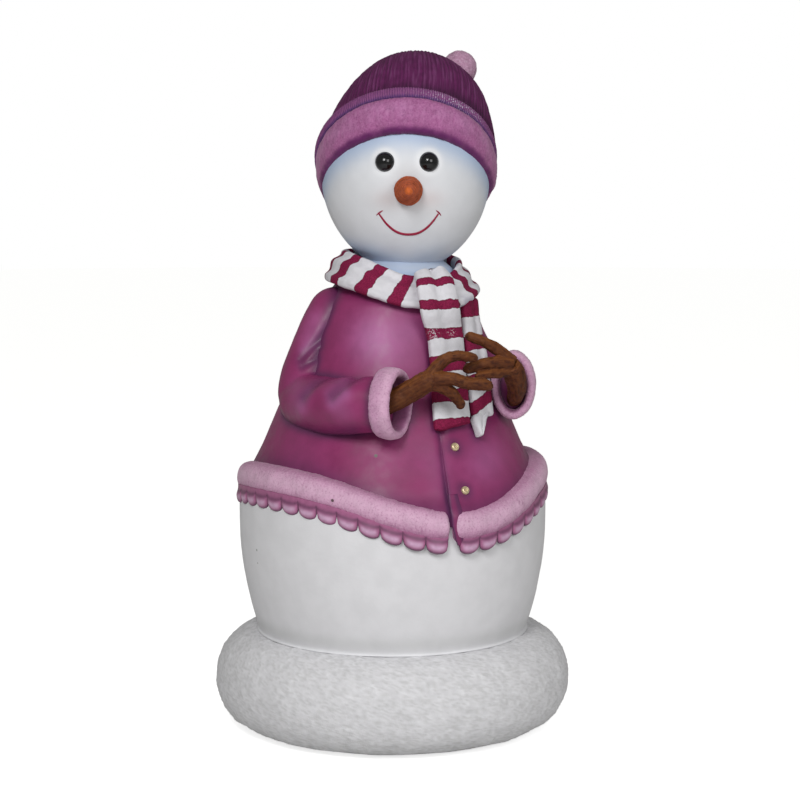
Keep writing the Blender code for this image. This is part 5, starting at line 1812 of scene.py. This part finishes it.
        def groove(across: Array, height: Array) -> Array:
            """Deep under the chin and fading downwards."""
            depth = 0.0035 + 0.0050 * smooth_step(height, 1.00, 1.20)
            return (depth * bell(across, 0.02, 0.10)
                    - 0.0025 * (bell(across, -0.26, 0.16) + bell(across, 0.28, 0.16)))

        piece, across, height = self.hanging_end("striped_scarf_front_end", self.front_end, 220, groove)
        points = places(piece)
        near_tip = smooth_step(-height, -0.850, -0.825)
        points[:len(height), 2] += (near_tip
                                    * (0.013 * smooth_step(across, -0.15, 0.35) - 0.011
                                       * bell(across, -0.30, 0.20)))
        near_top = smooth_step(height, 1.200, 1.238)
        points[:len(height), 2] += (near_top
                                    * (0.004 * bell(across, -0.25, 0.17) + 0.010 * bell(across, 0.23, 0.22)
                                       - 0.012))
        move_to(piece, points)
        puff(piece, 0.0011 * wander(points, 0.030, 27.0, 2) + 0.0004 * wander(points, 0.006, 28.0, 2))
        notch = 0.0026 * bell(across, 0.02, 0.14) * smooth_step(height, 0.95, 1.12)
        crooked = 0.0012 * wander(np.stack([across * 0.1, height * 0.3, height * 0], 1), 0.012, 29.0, 2)
        return self.finish(piece, height + notch + crooked, self.front_stripes, len(height))

    def rear(self) -> Piece:
        """The rear end, which narrows to a folded tip."""

        def groove(across: Array, height: Array) -> Array:
            """One shallow fold."""
            return 0.0040 * bell(across, 0.10, 0.12) - 0.0015 * bell(across, -0.22, 0.15)

        piece, across, height = self.hanging_end("striped_scarf_rear_end", self.rear_end, 190, groove)
        points = places(piece)
        puff(piece, 0.0010 * wander(points, 0.030, 30.0, 2) + 0.0004 * wander(points, 0.006, 31.0, 2))
        slope = -0.030 * across * smooth_step(-height, -1.00, -0.93)
        return self.finish(piece, height + slope, self.rear_stripes, len(height))

    def finish(self, piece: Piece, level: Array, stripes: Sequence[tuple[float, float]],
               count: int) -> Piece:
        """Marks a hanging end's stripes and worn chips."""
        inside = np.full(len(piece.data.vertices), -0.01)
        inside[:count] = self.into_stripes(level, stripes)
        inside[count:] = 0.01 if stripes[-1][1] < 0.85 else -0.01
        points = places(piece)
        chips = layered(points, (Stroke(((-0.035, -0.275, 1.073),), 0.012, 1.0),
                                 Stroke(((0.020, -0.275, 1.073),), 0.008, 0.9)))
        mark(piece, "stripe", inside)
        mark(piece, "chip", chips)
        return piece

    def paint(self, piece: Piece, neighbours: Sequence[Piece], *nodes: str) -> Piece:
        """Mists a little violet painted shade where the scarf lies against other pieces."""
        mark(piece, "shade", 0.55 * closeness(places(piece), neighbours, 0.008))
        return deliver(piece, SCARF_KNIT, Slot.SCARF, *nodes)


# ------------------------------------------------------------------ studio

@dataclass
class StudioCamera:
    """The camera, level with the nose and looking a little down."""

    azimuth: ClassVar[float] = -30.0
    distance: float = 5.2
    height: float = 1.448
    aside: float = 0.0206
    look_down: float = 6.3
    lens: float = 87.03

    def build(self) -> None:
        """Places the camera."""
        camera = bpy.data.objects.new("camera", bpy.data.cameras.new("camera"))
        camera.data.lens = self.lens
        camera.data.sensor_width = 36.0
        toward = around_axis(self.azimuth, 1.0, 0.0)
        right = around_axis(self.azimuth + 90.0, 1.0, 0.0)
        camera.location = toward * self.distance + right * self.aside + np.array((0.0, 0.0, self.height))
        down = math.radians(self.look_down)
        aim = Vector(-toward * math.cos(down)) - Vector((0.0, 0.0, math.sin(down)))
        camera.rotation_euler = aim.to_track_quat("-Z", "Y").to_euler()
        bpy.context.scene.collection.objects.link(camera)
        bpy.context.scene.camera = camera


@dataclass
class Studio:
    """A pale floor under an even sky, with two soft lamps in front."""

    sky: float = 0.28
    backdrop: float = 1.0
    floor_radius: float = 30.0
    floor_glow: float = 0.74
    key_power: float = 80.0
    fill_power: float = 36.0

    def build(self) -> None:
        """Places the floor, the sky and the lamps."""
        self.light_sky()
        self.lay_floor()
        self.hang_lamp("key", -42.0, 3.8, 3.2, 1.3, self.key_power)
        self.hang_lamp("fill", 0.0, 3.9, 2.4, 1.6, self.fill_power)
        bpy.context.scene.view_settings.view_transform = "Standard"

    def light_sky(self) -> None:
        """An even pale sky."""
        world = bpy.data.worlds.new("studio_sky")
        world.use_nodes = True
        nodes, links = world.node_tree.nodes, world.node_tree.links
        background = nodes["Background"]
        background.inputs["Color"].default_value = (1.0, 1.0, 0.96, 1.0)
        background.inputs["Strength"].default_value = self.sky
        backdrop = nodes.new("ShaderNodeBackground")
        backdrop.inputs["Color"].default_value = (1.0, 1.0, 1.0, 1.0)
        backdrop.inputs["Strength"].default_value = self.backdrop
        seen = nodes.new("ShaderNodeLightPath")
        mix = nodes.new("ShaderNodeMixShader")
        links.new(seen.outputs["Is Camera Ray"], mix.inputs[0])
        links.new(background.outputs[0], mix.inputs[1])
        links.new(backdrop.outputs[0], mix.inputs[2])
        links.new(mix.outputs[0], nodes["World Output"].inputs["Surface"])
        bpy.context.scene.world = world

    def lay_floor(self) -> None:
        """A pale floor with a faint glow of its own, so that it meets the sky without a line."""
        bm = bmesh.new()
        bmesh.ops.create_circle(bm, cap_ends=True, segments=96, radius=self.floor_radius)
        mesh = bpy.data.meshes.new("studio_floor")
        bm.to_mesh(mesh)
        bm.free()
        floor = bpy.data.objects.new("studio_floor", mesh)
        floor.location.z = -0.001
        table = PaintTable("studio_floor")
        table.shader.inputs["Emission Color"].default_value = (1.0, 1.0, 1.0, 1.0)
        seen = table.node("ShaderNodeLightPath").outputs["Is Camera Ray"]
        table.feed(table.shader.inputs["Emission Strength"], table.sum("MULTIPLY", seen, self.floor_glow))
        mesh.materials.append(table.finish((0.90, 0.90, 0.90), 0.9))
        bpy.context.scene.collection.objects.link(floor)

    def hang_lamp(self, name: str, azimuth: float, distance: float, height: float, size: float,
                  power: float) -> None:
        """A square soft lamp that faces the figure's chest.

        Args:
            name: the lamp's name.
            azimuth: where it hangs.
            distance: how far out.
            height: how high.
            size: its width, metres.
            power: its power, watts.
        """
        lamp = bpy.data.lights.new(name + "_lamp", "AREA")
        lamp.shape = "SQUARE"
        lamp.size = size
        lamp.energy = power
        holder = bpy.data.objects.new(name + "_lamp", lamp)
        holder.location = around_axis(azimuth, distance, height)
        aim = Vector((0.0, 0.0, 1.0)) - Vector(holder.location)
        holder.rotation_euler = aim.to_track_quat("-Z", "Y").to_euler()
        bpy.context.scene.collection.objects.link(holder)


def write_sizes() -> None:
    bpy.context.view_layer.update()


def main() -> None:
    """Builds the figure from the floor up and reports each piece."""
    logging.basicConfig(level=logging.INFO, format="%(name)s %(message)s")
    StudioCamera().build()
    Studio().build()
    SnowBase().build()
    ball = Snowball()
    ball.build()
    hem = Hem()
    coat = Coat(hem, ball)
    roll, trim = hem.roll(), hem.trim()
    coat_skin = coat.build()
    placket = coat.placket()
    buttons = [coat.button(node, z) for node, z in coat.button_heights.items()]
    head = Head()
    head_skin = head.build()
    head.eye(Side.RIGHT)
    head.eye(Side.LEFT)
    head.nose()
    head.smile()
    hat = Hat(head)
    brim = hat.brim()
    hat.band()
    hat.crown()
    hat.pompom()
    scarf = Scarf()
    turn, front, rear = scarf.turn(), scarf.front(), scarf.rear()
    scarf_pieces = [turn, front, rear]
    head.neck(scarf_pieces)
    cuffs, sleeves = [], []
    arms = (right_arm(), left_arm())
    for arm in arms:
        cuffs.append(arm.cuff())
        sleeves.append(arm.sleeve())
        arm.hand()
    coat.paint(coat_skin, [*scarf_pieces, *cuffs, *buttons], sleeves)
    for arm, sleeve, cuff in zip(arms, sleeves, cuffs):
        arm.paint_sleeve(sleeve, [coat_skin, cuff])
    head.paint(head_skin, [brim, *scarf_pieces])
    scarf.paint(turn, [front, rear, coat_skin], "scarf_wrap")
    scarf.paint(front, [turn, rear], "scarf_tail_front")
    scarf.paint(rear, [turn, front], "scarf_tail_rear")
    LOG.info("trim %s, hem %s and placket %s share the coat's edge", trim.name, roll.name, placket.name)
    write_sizes()


if __name__ == "__main__":
    main()
